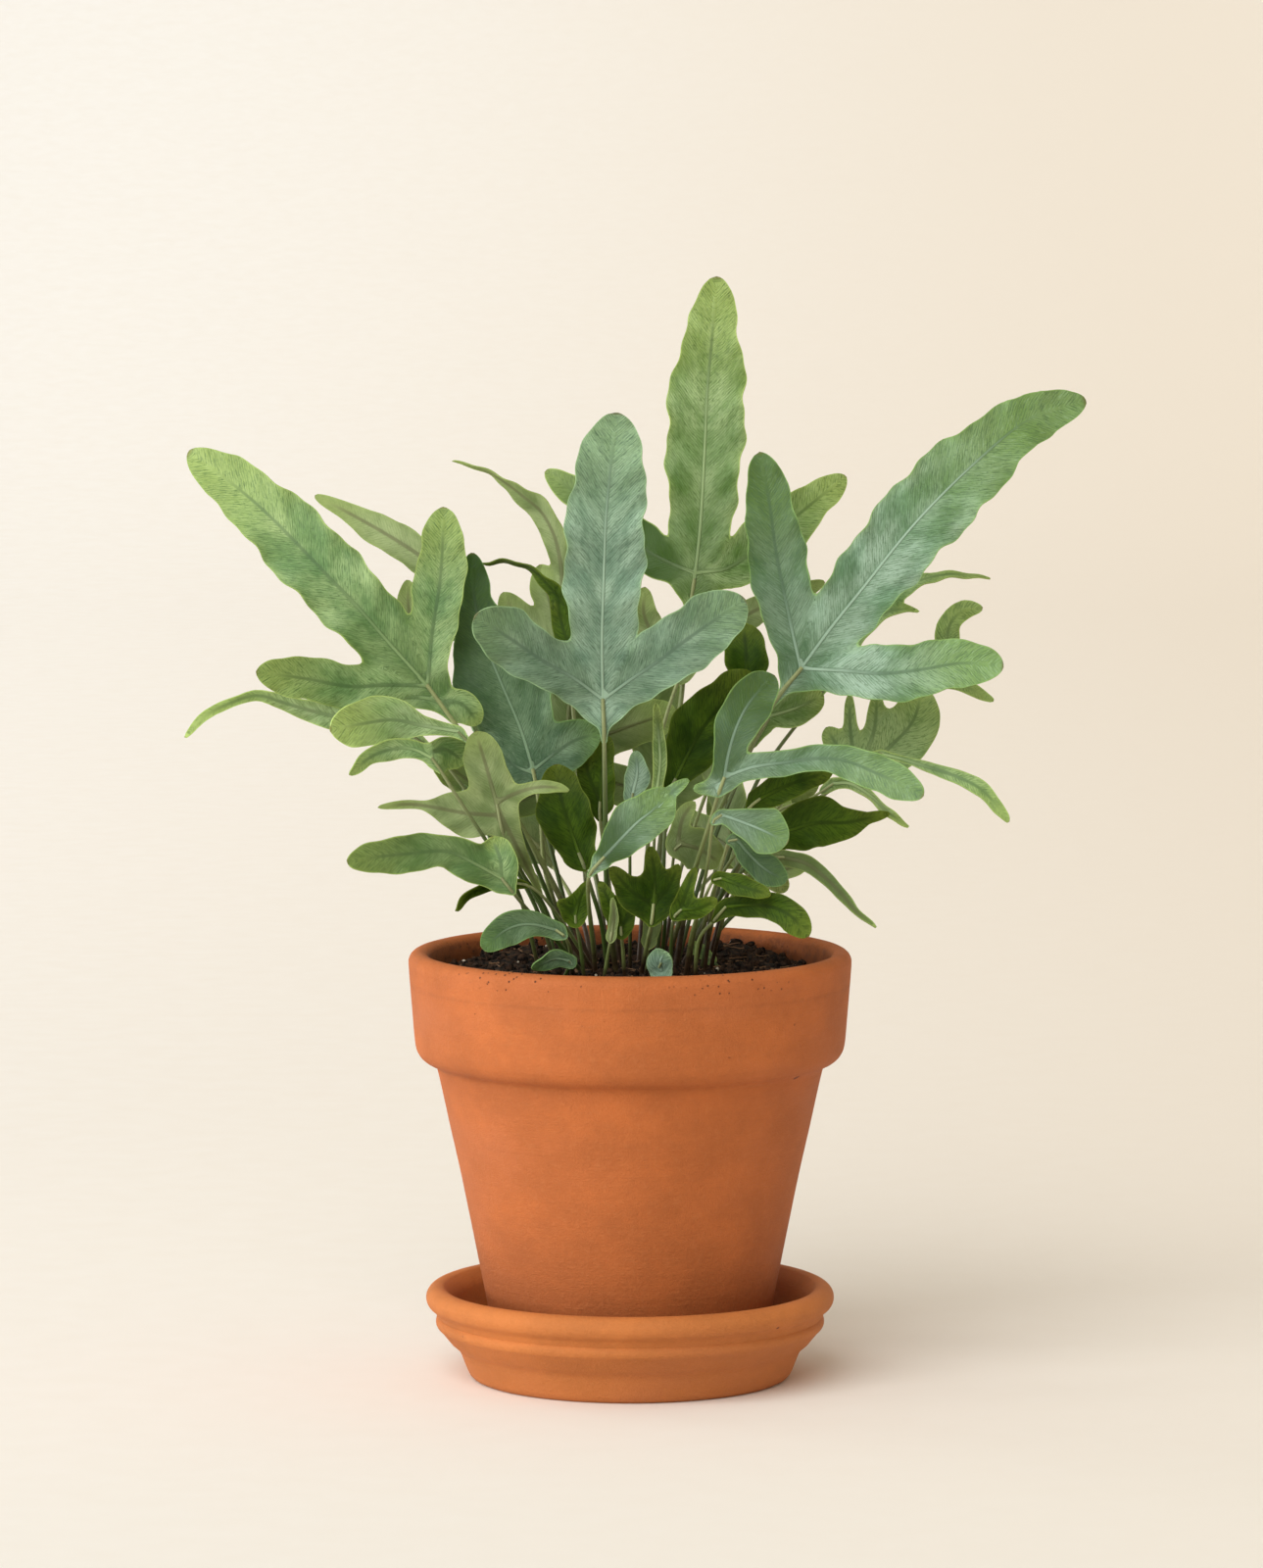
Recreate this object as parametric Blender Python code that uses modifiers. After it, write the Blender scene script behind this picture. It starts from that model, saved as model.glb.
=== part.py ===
"""A young blue star fern in a turned clay pot, which stands on a clay saucer.

Sizes in the tables below are millimetres. The fern's fronds are described as a viewer in front of the plant
measures them: across to the right, up from the floor, and deep behind the upright plane through the pot's axis.
"""

import math
import random
from collections import namedtuple

import bmesh
import bpy
import numpy as np
from mathutils import Vector
from mathutils.geometry import delaunay_2d_cdt

MM = 0.001
GAP = 0.3

# The viewer's eye, level with EYE_HEIGHT and EYE_DISTANCE in front of the pot's axis
EYE_HEIGHT = 463.8
EYE_DISTANCE = 2521.3

TURN_STEPS = 32

# Pot: a deep collar over a body that narrows to its foot
POT_BASE_Z = 7.3
POT_FLOOR = 7.0
POT_TOP_Z = 150.7
POT_RIM_RADIUS = 77.5
POT_COLLAR_FOOT_Z = 110.7
POT_FOOT_RADIUS = 45.7
DRAIN_RADIUS = 9.0

# Saucer: a rolled rim over a second ring, narrowing to a foot
SAUCER_FLOOR_Z = 7.0
SAUCER_RIM_RADIUS = 71.7
SAUCER_TOP_Z = 32.4
SAUCER_FOOT_RADIUS = 54.5
BEAD_RADIUS = 4.3
RING_RADIUS = 2.9

# Soil and what stands in it
SOIL_EDGE_Z = 141.5
SOIL_MOUND = 3.0
SOIL_RADIUS = 69.1
HOLE_SIDES = 6
STIPE_DEPTH = 11.0
STIPE_SPACING = 24.0
STIPE_TAPER = 0.35
SLIM_STIPE = 0.96

# Fronds: thickness of the blade and how finely its outline and its surface are divided
BLADE_THICKNESS = 0.6
OUTLINE_TOLERANCE = 0.55
OUTLINE_SPACING = 10.0
SURFACE_SPACING = 9.8
MARGIN_CLEARANCE = 4.1
FORK_CLEARANCE = 4.9
FIELD_STEP = 1.0

# How lobes run together at a sinus, how their bends are blended, and the folds of their margins. The waves and
# the scallops of a lobe's two sides are out of step by the lags, in radians.
SINUS_ROUNDING = 1.3
BEND_BLENDING = 3.5
KEEL = 0.12
WAVE_LENGTH = 24.0
WAVE_HEIGHT = 0.13
SCALLOP = 0.055
WAVE_LAG = 1.9
SIDE_LAG = 2.6

Lobe = namedtuple("Lobe", "line widths bow turn", defaults=((0, 0), (0, 0)))
Frond = namedtuple("Frond", "name hue root stipe radius depth rachis lobes azimuth", defaults=(None,))
Guide = namedtuple("Guide", "line tangents length phase")
Place = namedtuple("Place", "along across past distance tangent")

# Blade colours: linear red, green and blue
HUES = {
    "blue": (0.155, 0.262, 0.205),
    "green": (0.150, 0.265, 0.095),
    "lime": (0.235, 0.345, 0.085),
    "olive": (0.150, 0.200, 0.065),
    "dark": (0.050, 0.100, 0.030),
}
CLAY = (0.560, 0.195, 0.085)
SOIL = (0.030, 0.020, 0.014)

# A lobe is the line of its midrib from the rachis to its tip, its half widths from root to tip, how far its
# midrib bows back from the blade's own depth, and how many degrees it turns away from the viewer.
# A frond's root is where it leaves the soil, its stipe the points that it passes on its way to the blade.
FRONDS = [
    Frond("frond_front_tall", "blue", (-5, -13), [(-7.2, 161), (-8.2, 175), (-8.6, 195)], 1.25, -46,
          [(-9, 224), (-9.5, 239)], [
        Lobe([(-9.5, 239), (-9.8, 260), (-9.2, 280), (-8.5, 300), (-7, 317), (-4.6, 338.8)],
             (9, 10.8, 13.7, 13.8, 12.2), (0, -9, -15, -16)),
        Lobe([(-9.8, 239), (-20, 246.5), (-30, 252), (-41, 259.5), (-54, 268)], (7, 8.5, 9.4, 10.2), (0, -9, -20)),
        Lobe([(-9, 239), (1, 246.2), (10, 252.2), (21, 260.6), (40, 273.8)], (7, 9.3, 11, 10.7), (0, -8, -12))]),
    Frond("frond_back_tall", "lime", (5, 16), [(9, 175), (14, 215), (18, 240)], 1.3, 34,
          [(19.5, 262), (22.5, 281)], [
        Lobe([(22.5, 281), (24.5, 300), (25.9, 325), (26.8, 345), (28.6, 366), (30.2, 386)],
             (8, 10.4, 12.6, 13.5, 12.7, 8.6), (0, 9, 20, 36)),
        Lobe([(22.3, 283), (13, 286.8), (3.5, 292.4), (-12.2, 305.8), (-29.4, 318.6)], (4.5, 7.6, 8.4, 5.8),
             (0, 12, 30)),
        Lobe([(22.7, 283), (34.5, 284.8), (47.5, 294.3), (61, 305.3), (75, 316.8)], (4.5, 7.4, 9, 9, 6),
             (0, 8, 22))]),
    Frond("frond_right_tall", "blue", (16, -5), [(20, 168), (27, 190), (35, 208)], 1.35, -17,
          [(50, 237), (60, 250)], [
        Lobe([(60, 250), (70, 263.7), (80.6, 277), (99.6, 300.7), (120.4, 321.7), (139, 336.7), (158.4, 343)],
             (8, 11.5, 13.4, 13.8, 9.6), (0, -1, 6, 26), (0, 4, -6)),
        Lobe([(59.5, 250), (55.6, 267), (50.9, 290), (48.4, 308), (45, 325)], (4.6, 9, 10.2, 9.9, 7.6),
             (0, 4, 6)),
        Lobe([(60, 249.6), (74, 248.8), (88, 247.8), (102, 249.3), (116, 251.5), (130.3, 250.5)],
             (6, 8.2, 9.8, 9.5, 8.2), (0, -10, -27))]),
    Frond("frond_left_tall", "green", (-13, -8), [(-20, 160), (-29, 178), (-39, 196), (-50, 215)], 1.3, -22,
          [(-62, 231.5), (-71, 244)], [
        Lobe([(-71, 244), (-84.6, 259.2), (-94.6, 270.8), (-104.7, 281.4), (-124.8, 302.2), (-138, 313.8),
              (-153.5, 325.2)], (8, 10.9, 12.5, 12.4, 9.6), (0, 0, 8, 30), (0, -4, 6)),
        Lobe([(-70.5, 244), (-69, 262), (-66.6, 277), (-65.4, 290), (-64.8, 305.8)], (5, 7, 8.5, 9, 7.6),
             (0, 4, 10)),
        Lobe([(-71.5, 243.6), (-85, 243.8), (-98, 243.3), (-113, 246), (-130.3, 248.4)], (6, 7.5, 7.8, 7.5),
             (0, -8, -22)),
        Lobe([(-65, 238), (-58.5, 237), (-52.6, 230)], (2.5, 5, 5), (0, 1, 3)),
        Lobe([(-64, 236.5), (-71, 239.2), (-79.5, 239.4)], (1.8, 2, 2.1), (0, 1, 2))]),
    Frond("frond_left_olive", "olive", (-18, 9), [(-26, 180), (-38, 225)], 1.0, 14,
          [(-50, 258), (-61, 276)], [
        Lobe([(-61, 276), (-70, 286.5), (-83, 295.4), (-97, 303.4), (-109.8, 310)], (4, 5.2, 5.9, 5.5, 3),
             (0, 8, 32)),
        Lobe([(-55, 266), (-66, 262), (-76, 267), (-77.6, 280.6)], (2.5, 3.4, 4, 3.8), (0, 2, 6))]),
    Frond("frond_back_curled", "olive", (-12, 15), [(-16, 180), (-19, 225)], 1.0, 22,
          [(-21, 246), (-22.5, 262)], [
        Lobe([(-22.5, 262), (-24.3, 288), (-29.3, 302.2), (-37.9, 310.4), (-49.1, 318.1), (-63, 322.5)],
             (3, 2.2, 4.3, 4.3, 1.1), (0, 10, 26), (-20, 30, 60)),
        Lobe([(-21.7, 252), (-30, 260), (-38.4, 267), (-44.6, 276)], (3.5, 5.2, 5.8), (0, 4, 8)),
        Lobe([(-22.3, 258), (-27, 270), (-31.5, 285.8)], (3, 4.4, 5.6), (0, 8, 20))]),
    Frond("frond_back_edge_on", "dark", (-4, 12), [(-8, 180), (-12, 225)], 0.9, 10,
          [(-14, 245), (-16, 258)], [
        Lobe([(-16, 258), (-23, 272), (-33, 283.5), (-41, 286.8), (-51.8, 286.3)], (3, 3.4, 3.2, 2.2),
             (0, 3, 8), (0, 60, 72)),
        Lobe([(-15, 252), (-22, 260), (-26.3, 274.5)], (2.5, 4, 3.6), (0, 2, 4))]),
    Frond("frond_left_broad", "blue", (-15, -1), [(-23, 158), (-29.5, 178), (-31, 195)], 1.2, -9,
          [(-32.5, 207), (-34, 214.5)], [
        Lobe([(-34, 214.5), (-38, 228), (-44.7, 244), (-51, 260), (-54.2, 274), (-55, 290)],
             (7, 12.7, 15.8, 11.8, 6.2), (0, 4, 13)),
        Lobe([(-33.7, 214), (-26, 220), (-19, 224.5), (-10.5, 227)], (5, 8, 9, 7), (0, 1, 2)),
        Lobe([(-34, 213), (-41, 216), (-48, 223)], (4, 5.5, 5.5), (0, 1, 2))]),
    Frond("frond_left_strap", "blue", (-26, 2), [(-34, 168), (-50, 196)], 0.95, -6,
          [(-66, 218), (-76, 226)], [
        Lobe([(-76, 226), (-95, 231), (-108, 234), (-120, 237.4), (-130, 240.2), (-140, 237.3),
              (-149.3, 232.2), (-155.6, 224.9)], (2.5, 4.8, 5.3, 4, 2.5, 1.7, 1.7), (0, -8, -32), (0, 20, -10))]),
    Frond("frond_left_mid", "green", (-20, -3), [(-28, 168), (-38, 192)], 1.0, -28,
          [(-50, 216), (-60, 227.5)], [
        Lobe([(-60, 227.5), (-72, 229.5), (-83, 231.6), (-94, 230.1), (-104.6, 228.2)], (1.8, 3.4, 7.8, 8.4),
             (0, -9, -28))]),
    Frond("frond_left_droop", "green", (-31, -25), [(-38, 168), (-45, 181), (-52.5, 192.5), (-61.3, 206)], 0.95,
          -52, [(-66, 213.5), (-69.3, 218.3)], [
        Lobe([(-69.3, 218.3), (-76, 221.4), (-83, 221.4), (-91, 218.4), (-98, 212.1)], (1.5, 3.4, 3.8, 2.6),
             (0, -1, -4), (0, 30)),
        Lobe([(-69, 220.5), (-64, 221), (-57.6, 216.3)], (3, 4.6, 5.4), (0, 15, 18.5))]),
    Frond("frond_left_pale", "olive", (-21, -11), [(-30, 166), (-36, 175), (-40.5, 183)], 0.95, -40,
          [(-44.5, 192), (-46.5, 202)], [
        Lobe([(-46.5, 202), (-49, 211), (-51.3, 219), (-54, 227.5)], (6, 7.4, 6.8), (0, 0, 1)),
        Lobe([(-46, 198), (-58, 199), (-68, 200.8), (-77, 202), (-88.4, 200.9)], (6, 8.2, 6.4, 2, 1.5), (0, 2, 4)),
        Lobe([(-46, 200), (-41, 190), (-35, 178), (-30.5, 169)], (4.5, 4.2, 2.6, 1.4), (0, 1.4, 9, 15)),
        Lobe([(-46, 203), (-38, 206.5), (-30, 208), (-21, 206.8)], (3.5, 2.4, 2.6), (0, -3, -6), (0, 40))]),
    Frond("frond_left_low", "green", (-17, -16), [(-26.5, 155), (-34.6, 163.4)], 1.0, -47,
          [(-41, 171), (-45, 176)], [
        Lobe([(-45, 176), (-54, 181), (-64, 185.4), (-77, 184.6), (-88, 183.5), (-99, 181.6)],
             (4.5, 7.2, 5.6, 6.9, 5.7), (0, -7, -24)),
        Lobe([(-45, 176.5), (-45.5, 183), (-48.5, 190.3)], (4.5, 6.3, 5.6), (0, 1, 4))]),
    Frond("frond_left_underlobe", "dark", (-13, -13), [(-22, 158), (-30, 169)], 0.85, -38,
          [(-36, 173.5), (-42, 174.3)], [
        Lobe([(-42, 174.3), (-50, 173), (-56, 170.3), (-61.2, 164.3)], (1.8, 2.2, 2), (0, -1, -3), (30, 50))]),
    Frond("frond_left_rim", "blue", (-20, -22), [(-21, 151)], 0.9, -52,
          [(-23, 155.5), (-26, 157.8)], [
        Lobe([(-26, 157.8), (-35, 159.8), (-43, 158), (-51.8, 151)], (3, 4.3, 6, 5), (0, -4, -9))]),
    Frond("frond_front_rim", "green", (-23, -30), [(-21.5, 144)], 0.8, -48,
          [(-20.5, 145.5), (-21.5, 147)], [
        Lobe([(-21.5, 147), (-27, 147.5), (-34.5, 144)], (2.4, 3.6, 3), (0, -2, -4), (35, 45))]),
    Frond("frond_front_bud", "blue", (11, -32), [(9.6, 143)], 0.8, -42,
          [(10.2, 144.6), (11, 146.2)], [
        Lobe([(11, 143.6), (10.6, 146.8), (12.7, 150.2)], (4.6, 5.4, 4.3), (0, -3, -5), (35, 20))]),
    Frond("frond_front_pale", "blue", (-12, -20), [(-13, 153), (-14.5, 168)], 1.0, -56,
          [(-14.2, 177), (-9, 183.5)], [
        Lobe([(-9, 183.5), (-2.5, 190.5), (3, 196), (8, 200), (14, 206.5)], (3.3, 7, 8.4, 7.4), (0, -4, -9)),
        Lobe([(10, 201), (15, 206.5), (20.6, 210.8)], (4, 2.4, 2), (-6, -8, -6))]),
    Frond("frond_right_mid", "blue", (12, -15), [(17, 160), (23, 180), (28, 196)], 1.15, -48,
          [(31, 206), (33, 211.5)], [
        Lobe([(33, 211.5), (34.7, 221), (38, 231), (43, 239.5), (50.5, 247)], (4, 5.8, 7.8, 8), (0, 0, 3)),
        Lobe([(33, 211.5), (43, 215), (54, 216.6), (66, 218.1), (76, 217), (86, 212.9), (95, 208.9),
              (102.5, 204.8)], (3.2, 4.6, 4.5, 4.8, 6.4, 6.2), (0, -6, -22)),
        Lobe([(32.6, 209.5), (27.5, 207.8), (21.8, 207.4)], (2.2, 2.6, 2.2), (0, -1, -2))]),
    Frond("frond_right_fore", "green", (20, -20), [(23, 160), (27, 180)], 0.9, -52,
          [(29, 195.5), (32, 198.3)], [
        Lobe([(32, 198.3), (38, 196.2), (46, 193), (55, 188.5)], (1.8, 5.4, 8.3), (0, -3, -9))]),
    Frond("frond_right_blue", "blue", (22, -13), [(27, 164), (32, 180)], 0.9, -40,
          [(34.5, 189), (37.5, 189.6)], [
        Lobe([(37.5, 189.6), (41.5, 184.6), (47.5, 179), (55, 175)], (2, 4.8, 5.3), (0, -2, -8))]),
    Frond("frond_right_dark", "dark", (19, -26), [(22, 158), (27, 171)], 0.85, -46,
          [(29.5, 175.5), (32, 176)], [
        Lobe([(32, 176), (40, 172.8), (49.3, 170)], (2.2, 4, 3.2), (0, -3, -8), (0, 20))]),
    Frond("frond_right_low", "olive", (22.5, -29), [(24, 154)], 0.9, -42,
          [(29.3, 161), (33.5, 166)], [
        Lobe([(34, 166), (41, 166.5), (49.4, 165.9), (56.6, 162.4), (62.3, 155.3)], (3, 4.4, 4.9, 5.2),
             (0, -5, -16))]),
    Frond("frond_right_deep", "dark", (25, -5), [(31, 168), (40, 184)], 0.95, -22,
          [(47, 190), (53, 192)], [
        Lobe([(53, 192), (65, 195.4), (75, 195.5), (84, 197.3), (91, 198.8)], (6, 8.8, 8.6, 5.6, 2.2),
             (0, 1, 3))]),
    Frond("frond_right_twisted", "lime", (23, 2), [(31, 175), (48, 197), (62, 203.5)], 0.8, -13,
          [(67, 206.5), (71, 209.3)], [
        Lobe([(71, 209.3), (77.5, 209), (85, 204.1), (90, 199.1), (97.7, 193.7)], (1.8, 2.1, 1.5, 1.8),
             (0, -2, -6), (0, 50))]),
    Frond("frond_right_hang", "dark", (28, -10), [(34, 166), (43, 179)], 0.9, -33,
          [(49, 183), (54, 183.3)], [
        Lobe([(54, 183.2), (61.9, 181), (68.7, 175.7), (74.3, 170.1), (79, 164.4), (86.7, 158.2)],
             (2.6, 3, 2.4, 2, 1.2), (0, -6, -20), (0, 25))]),
    Frond("frond_right_strap", "green", (27, 8), [(38, 180), (58, 208)], 0.9, -4,
          [(76, 219), (88, 219.6)], [
        Lobe([(88, 219.6), (96, 217.6), (104, 215), (112, 212.5), (121, 208.3), (127, 202.8), (132.5, 195.5)],
             (1.2, 1.2, 1.9, 2.4, 3, 2.3), (0, -7, -28), (0, 20))]),
    Frond("frond_right_back", "green", (19, 10), [(32, 170), (55, 195)], 1.1, 14,
          [(74, 210), (81, 216)], [
        Lobe([(82, 215), (91.6, 223), (98.9, 231.5), (102, 243)], (5, 10.2, 10.6, 8), (0, 3, 12)),
        Lobe([(80.5, 215), (85.2, 228), (86.2, 242.5)], (2.4, 2.3, 3), (0, 2, 8)),
        Lobe([(79, 214), (77, 227), (76.6, 241)], (2.4, 2.6, 2.2), (0, 2, 8)),
        Lobe([(79, 214.5), (73.4, 221), (68.4, 229)], (3, 4.4, 4.2), (0, 1, 4))]),
    Frond("frond_right_far", "green", (25, 20), [(33, 180), (43.5, 208), (51.7, 221.4)], 1.0, 32,
          [(66, 240), (72, 250)], [
        Lobe([(72, 251), (82, 267), (95, 277.4), (109, 282.2), (126, 281)], (3, 4, 4.2, 1.8), (0, 6, 22),
             (0, 40, 60)),
        Lobe([(72, 250), (79, 261), (88, 268.2), (94.5, 269.8), (101.5, 269)], (3, 2.6, 2.4, 1.6), (0, 4, 8),
             (0, 50)),
        Lobe([(73, 250), (95, 247), (108.6, 252.6), (111.3, 264.5), (116, 269.6), (123, 270.3)],
             (3, 3, 2.2, 2.6, 4.4, 3.6), (0, 0, -4)),
        Lobe([(73, 249), (95, 244.5), (112, 245), (127.3, 238)], (2.5, 2.5, 3, 2.6), (0, 6, 10))]),
    Frond("frond_right_backlit", "lime", (17, 13), [(26, 180), (36, 206)], 0.95, 23,
          [(43, 222.5), (48.6, 232)], [
        Lobe([(49, 233), (58, 235.8), (67.5, 240.3)], (3.6, 6.8, 5.6), (0, 2, 6))]),
    Frond("frond_mid_dark", "dark", (9, 0), [(11, 165), (12, 188)], 1.1, -3,
          [(13, 204), (16, 211)], [
        Lobe([(16, 211), (21, 221), (27, 231), (35, 240), (43, 248)], (4.5, 9.5, 10.6, 8), (0, 2, 4))]),
    Frond("frond_mid_round", "dark", (11, 8), [(18, 180), (31, 218)], 0.9, 11,
          [(38, 236), (40.5, 244)], [
        Lobe([(40.5, 244), (40.5, 254), (39.5, 265.3)], (4, 7.6, 7.2), (0, 2, 6))]),
    Frond("frond_mid_sliver", "lime", (6, -10), [(7.5, 165), (8.5, 190)], 0.8, -29,
          [(9, 203), (9.6, 208)], [
        Lobe([(9.6, 208), (10.5, 219), (9, 238)], (1.6, 2.6, 1.9), (0, 1, 4))]),
    Frond("frond_mid_blue", "blue", (0, -7), [(0, 165), (0, 190)], 0.8, -24,
          [(0.5, 201), (1, 206)], [
        Lobe([(1, 206), (2.5, 213), (2, 220.8)], (3, 4.6, 3.2), (0, 1, 3))]),
    Frond("frond_mid_olive", "olive", (3, 10), [(6, 185), (10, 222)], 1.0, 22,
          [(17, 246), (21, 254)], [
        Lobe([(20, 252), (30, 260), (42, 269), (55, 274.5), (68, 280)], (4, 4.6, 5, 3.6), (0, 3, 8)),
        Lobe([(18, 248), (10, 258), (5, 268), (5, 278)], (3.5, 4.4, 5), (0, 2, 4))]),
    Frond("frond_low_dark", "dark", (4, -20), [(6, 153)], 1.0, -43,
          [(7.5, 160), (8.2, 167)], [
        Lobe([(8.2, 167), (8.6, 177), (7, 187.3)], (6, 5.5, 3), (0, -2, -2)),
        Lobe([(8, 167), (0.6, 171.4), (-7, 180)], (5, 6.6, 3.4), (0, -2, -4)),
        Lobe([(8.4, 167), (13.5, 173), (17, 181)], (4.5, 5.2, 2.6), (0, -1, -2))]),
    Frond("frond_low_olive", "olive", (11, -9), [(12.5, 163), (14.5, 177)], 0.9, -25,
          [(15.7, 186), (18, 188)], [
        Lobe([(18, 188), (24.5, 186), (32, 181)], (5.2, 7.6, 6), (0, 2, 4)),
        Lobe([(16.8, 189), (18.4, 197), (22.6, 203)], (2.4, 3, 2.8), (0, 0, 1))]),
    Frond("frond_low_hook", "dark", (14, -22), [(14.6, 156)], 0.85, -47,
          [(15.5, 162.3), (18, 165)], [
        Lobe([(18, 165), (24, 165.4), (30.6, 168.5)], (2.6, 3.4, 2.8), (0, -2, -5)),
        Lobe([(17.5, 165), (20, 172), (23, 180)], (2.4, 2.8, 2), (0, 0, 2))]),
    Frond("frond_low_broad", "dark", (-8, -2), [(-10, 160), (-13.5, 172)], 1.1, -17,
          [(-16, 180), (-18, 185)], [
        Lobe([(-18, 185), (-21, 194), (-24, 204), (-26, 216)], (6, 9, 9.6, 7), (0, 1, 4))]),
    Frond("frond_low_left", "dark", (-16, -26), [(-17.5, 153)], 0.85, -37,
          [(-19, 160.5), (-19.2, 163)], [
        Lobe([(-19.2, 163), (-17.5, 169), (-14.6, 175)], (3.4, 4, 2.2), (0, 0, 1)),
        Lobe([(-19.4, 163), (-22, 165.5), (-25.5, 168)], (2.4, 3, 2), (0, -1, -2))]),
    Frond("frond_low_mid", "olive", (-2, -24), [(-2.5, 151)], 0.85, -34,
          [(-3, 156), (-3.2, 159)], [
        Lobe([(-3.2, 159), (-6.5, 166), (-10.6, 175)], (3, 4, 2.6), (0, 0, 1)),
        Lobe([(-3, 159), (-0.6, 162.5), (1, 166)], (2.4, 2.8, 2), (0, 0, 1))]),
    Frond("frond_low_sliver", "blue", (-9, -30), [(-7.6, 150)], 0.8, -37,
          [(-6.8, 154), (-6.4, 157)], [
        Lobe([(-6.4, 157), (-5.6, 163), (-6.2, 169.5)], (1.3, 1.7, 1.3), (0, 0, 1))]),
    Frond("frond_low_under", "olive", (5.5, -16), [(6, 149)], 0.8, -19,
          [(6.3, 152), (6.8, 154.5)], [
        Lobe([(6.8, 154.5), (7.8, 161), (8.6, 169)], (2.4, 3.2, 2.6), (0, 0, 0))]),
    Frond("frond_low_young", "green", (30.4, 4.6), [(29.6, 145.8)], 0.8, 5.2,
          [(28.8, 146.8), (27.8, 147.9)], [
        Lobe([(27.8, 147.9), (24.4, 150.4), (20.8, 152.8)], (1.6, 2.4, 2.5))]),
    Frond("frond_right_under", "dark", (26, -14), [(30, 174), (36, 191)], 0.9, -37,
          [(41, 200), (45.5, 204)], [
        Lobe([(45.5, 204), (56, 209), (71, 214)], (4, 5.6, 4), (0, 1, 3))]),
    Frond("frond_low_back", "dark", (-3, 4), [(-6, 165), (-9, 185)], 0.95, -4,
          [(-10.5, 197), (-10.5, 203)], [
        Lobe([(-10.5, 203), (-9.8, 213), (-7.6, 226)], (4, 4.6, 3.6), (0, 1, 4)),
        Lobe([(-10.5, 203), (-14, 211), (-16, 219)], (4, 4.5, 3.6), (0, 1, 2))]),
]

# Fronds at the back, which follow one plan: a rachis, an end lobe and two side lobes of these lengths times the
# frond's size. A row gives the side that the frond faces, where its blade starts across and up,
# how far out it stands, its size, how many degrees it leans over, its root in the soil and its colour
BACK_RACHIS = 13
BACK_LENGTH = 84
BACK_SIDE_LENGTH = 46
BACK_FRONDS = [
    (180, 24, 203, 56, 0.92, -4, (-8, 23), "green"),
    (178, -10, 185, 72, 0.80, 3, (4, 25), "lime"),
    (148, -2, 172, 70, 0.62, 16, (21, 19), "green"),
    (214, 6, 184, 76, 0.74, -14, (-20, 17), "green"),
    (160, 2, 168, 96, 0.55, -48, (11, 24), "olive"),
    (200, -4, 170, 92, 0.55, 44, (-14, 23), "blue"),
    (250, 4, 186, 50, 0.50, -10, (-26, 11), "blue"),
    (124, -8, 168, 50, 0.38, -6, (27, 14), "green"),
]


def slanted(start, length, angle, curl):
    """Points of a midrib that sets off at an angle from upright, in degrees, and curls by more of them."""
    points = [start]
    for k in range(4):
        heading = math.radians(angle + curl * (k + 0.5) / 4)
        last = points[-1]
        points.append((last[0] + length / 4 * math.sin(heading), last[1] + length / 4 * math.cos(heading)))
    return points


def back_frond(number, azimuth, across, up, reach, size, lean, root, hue):
    """A frond of one long lobe between two short ones, on a stipe that rises from its root to its blade."""
    draw = random.Random(number)
    fork = (across + BACK_RACHIS * size * math.sin(math.radians(lean)), up + BACK_RACHIS * size)
    tip = Lobe(slanted(fork, BACK_LENGTH * size, lean, draw.uniform(-14, 14)),
               [w * size for w in (8, 11, 13, 12.5, 10)], (0, -3, draw.uniform(-14, 2)))
    sides = []
    for side in (-1, 1):
        line = slanted(fork, BACK_SIDE_LENGTH * size, lean + side * draw.uniform(52, 66), side * draw.uniform(2, 24))
        sides.append(Lobe(line, [w * size for w in (6, 8, 9, 8.4)], (0, -3, draw.uniform(-10, 0))))
    c, s = math.cos(math.radians(azimuth)), math.sin(math.radians(azimuth))
    near = (root[0] * c + root[1] * s, -root[0] * s + root[1] * c)
    ground = soil_height(math.hypot(*root))
    stipe = [(near[0] + (across - near[0]) * t ** 1.3, ground + (up - ground) * t ** 0.7,
              near[1] - (reach + near[1]) * t ** 1.4) for t in (0.3, 0.65)]
    return Frond("frond_behind_%d" % number, hue, root, stipe, 0.8 + 0.4 * size, -reach,
                 [(across, up), fork], [tip] + sides, azimuth)


def all_fronds():
    """The fronds that are described one by one and those that follow the plan."""
    return FRONDS + [back_frond(k + 1, *row) for k, row in enumerate(BACK_FRONDS)]


def smooth_line(points, count):
    """A smooth line through the points, as rows spaced evenly by what its first two columns measure."""
    knots = np.array(points, float)
    ends = [2 * knots[0] - knots[1], 2 * knots[-1] - knots[-2]]
    p = np.vstack([ends[0], knots, ends[1]])
    t = np.linspace(0, 1, 12, endpoint=False)[:, None]
    pieces = []
    for a, b, c, d in zip(p, p[1:], p[2:], p[3:]):
        pieces.append(b + 0.5 * t * (c - a + t * (2 * a - 5 * b + 4 * c - d + t * (3 * (b - c) + d - a))))
    line = np.vstack(pieces + [knots[-1:]])
    steps = np.linalg.norm(np.diff(line[:, :2], axis=0), axis=1)
    along = np.concatenate([[0], np.cumsum(steps)])
    even = np.linspace(0, along[-1], count)
    return np.stack([np.interp(even, along, line[:, k]) for k in range(line.shape[1])], 1)


def spread(values, t):
    """Values given at even steps from 0 to 1, read smoothly at t."""
    steps = np.linspace(0, 1, len(values))
    curve = smooth_line(list(zip(steps, values)), 40)
    return np.interp(t, curve[:, 0], curve[:, 1])


def seen(across, up, depth):
    """The place in space of a point that shows at across and up on the plane through the pot's axis."""
    reach = 1 + depth / EYE_DISTANCE
    return np.stack([across * reach, depth, EYE_HEIGHT + (up - EYE_HEIGHT) * reach], -1)


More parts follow.
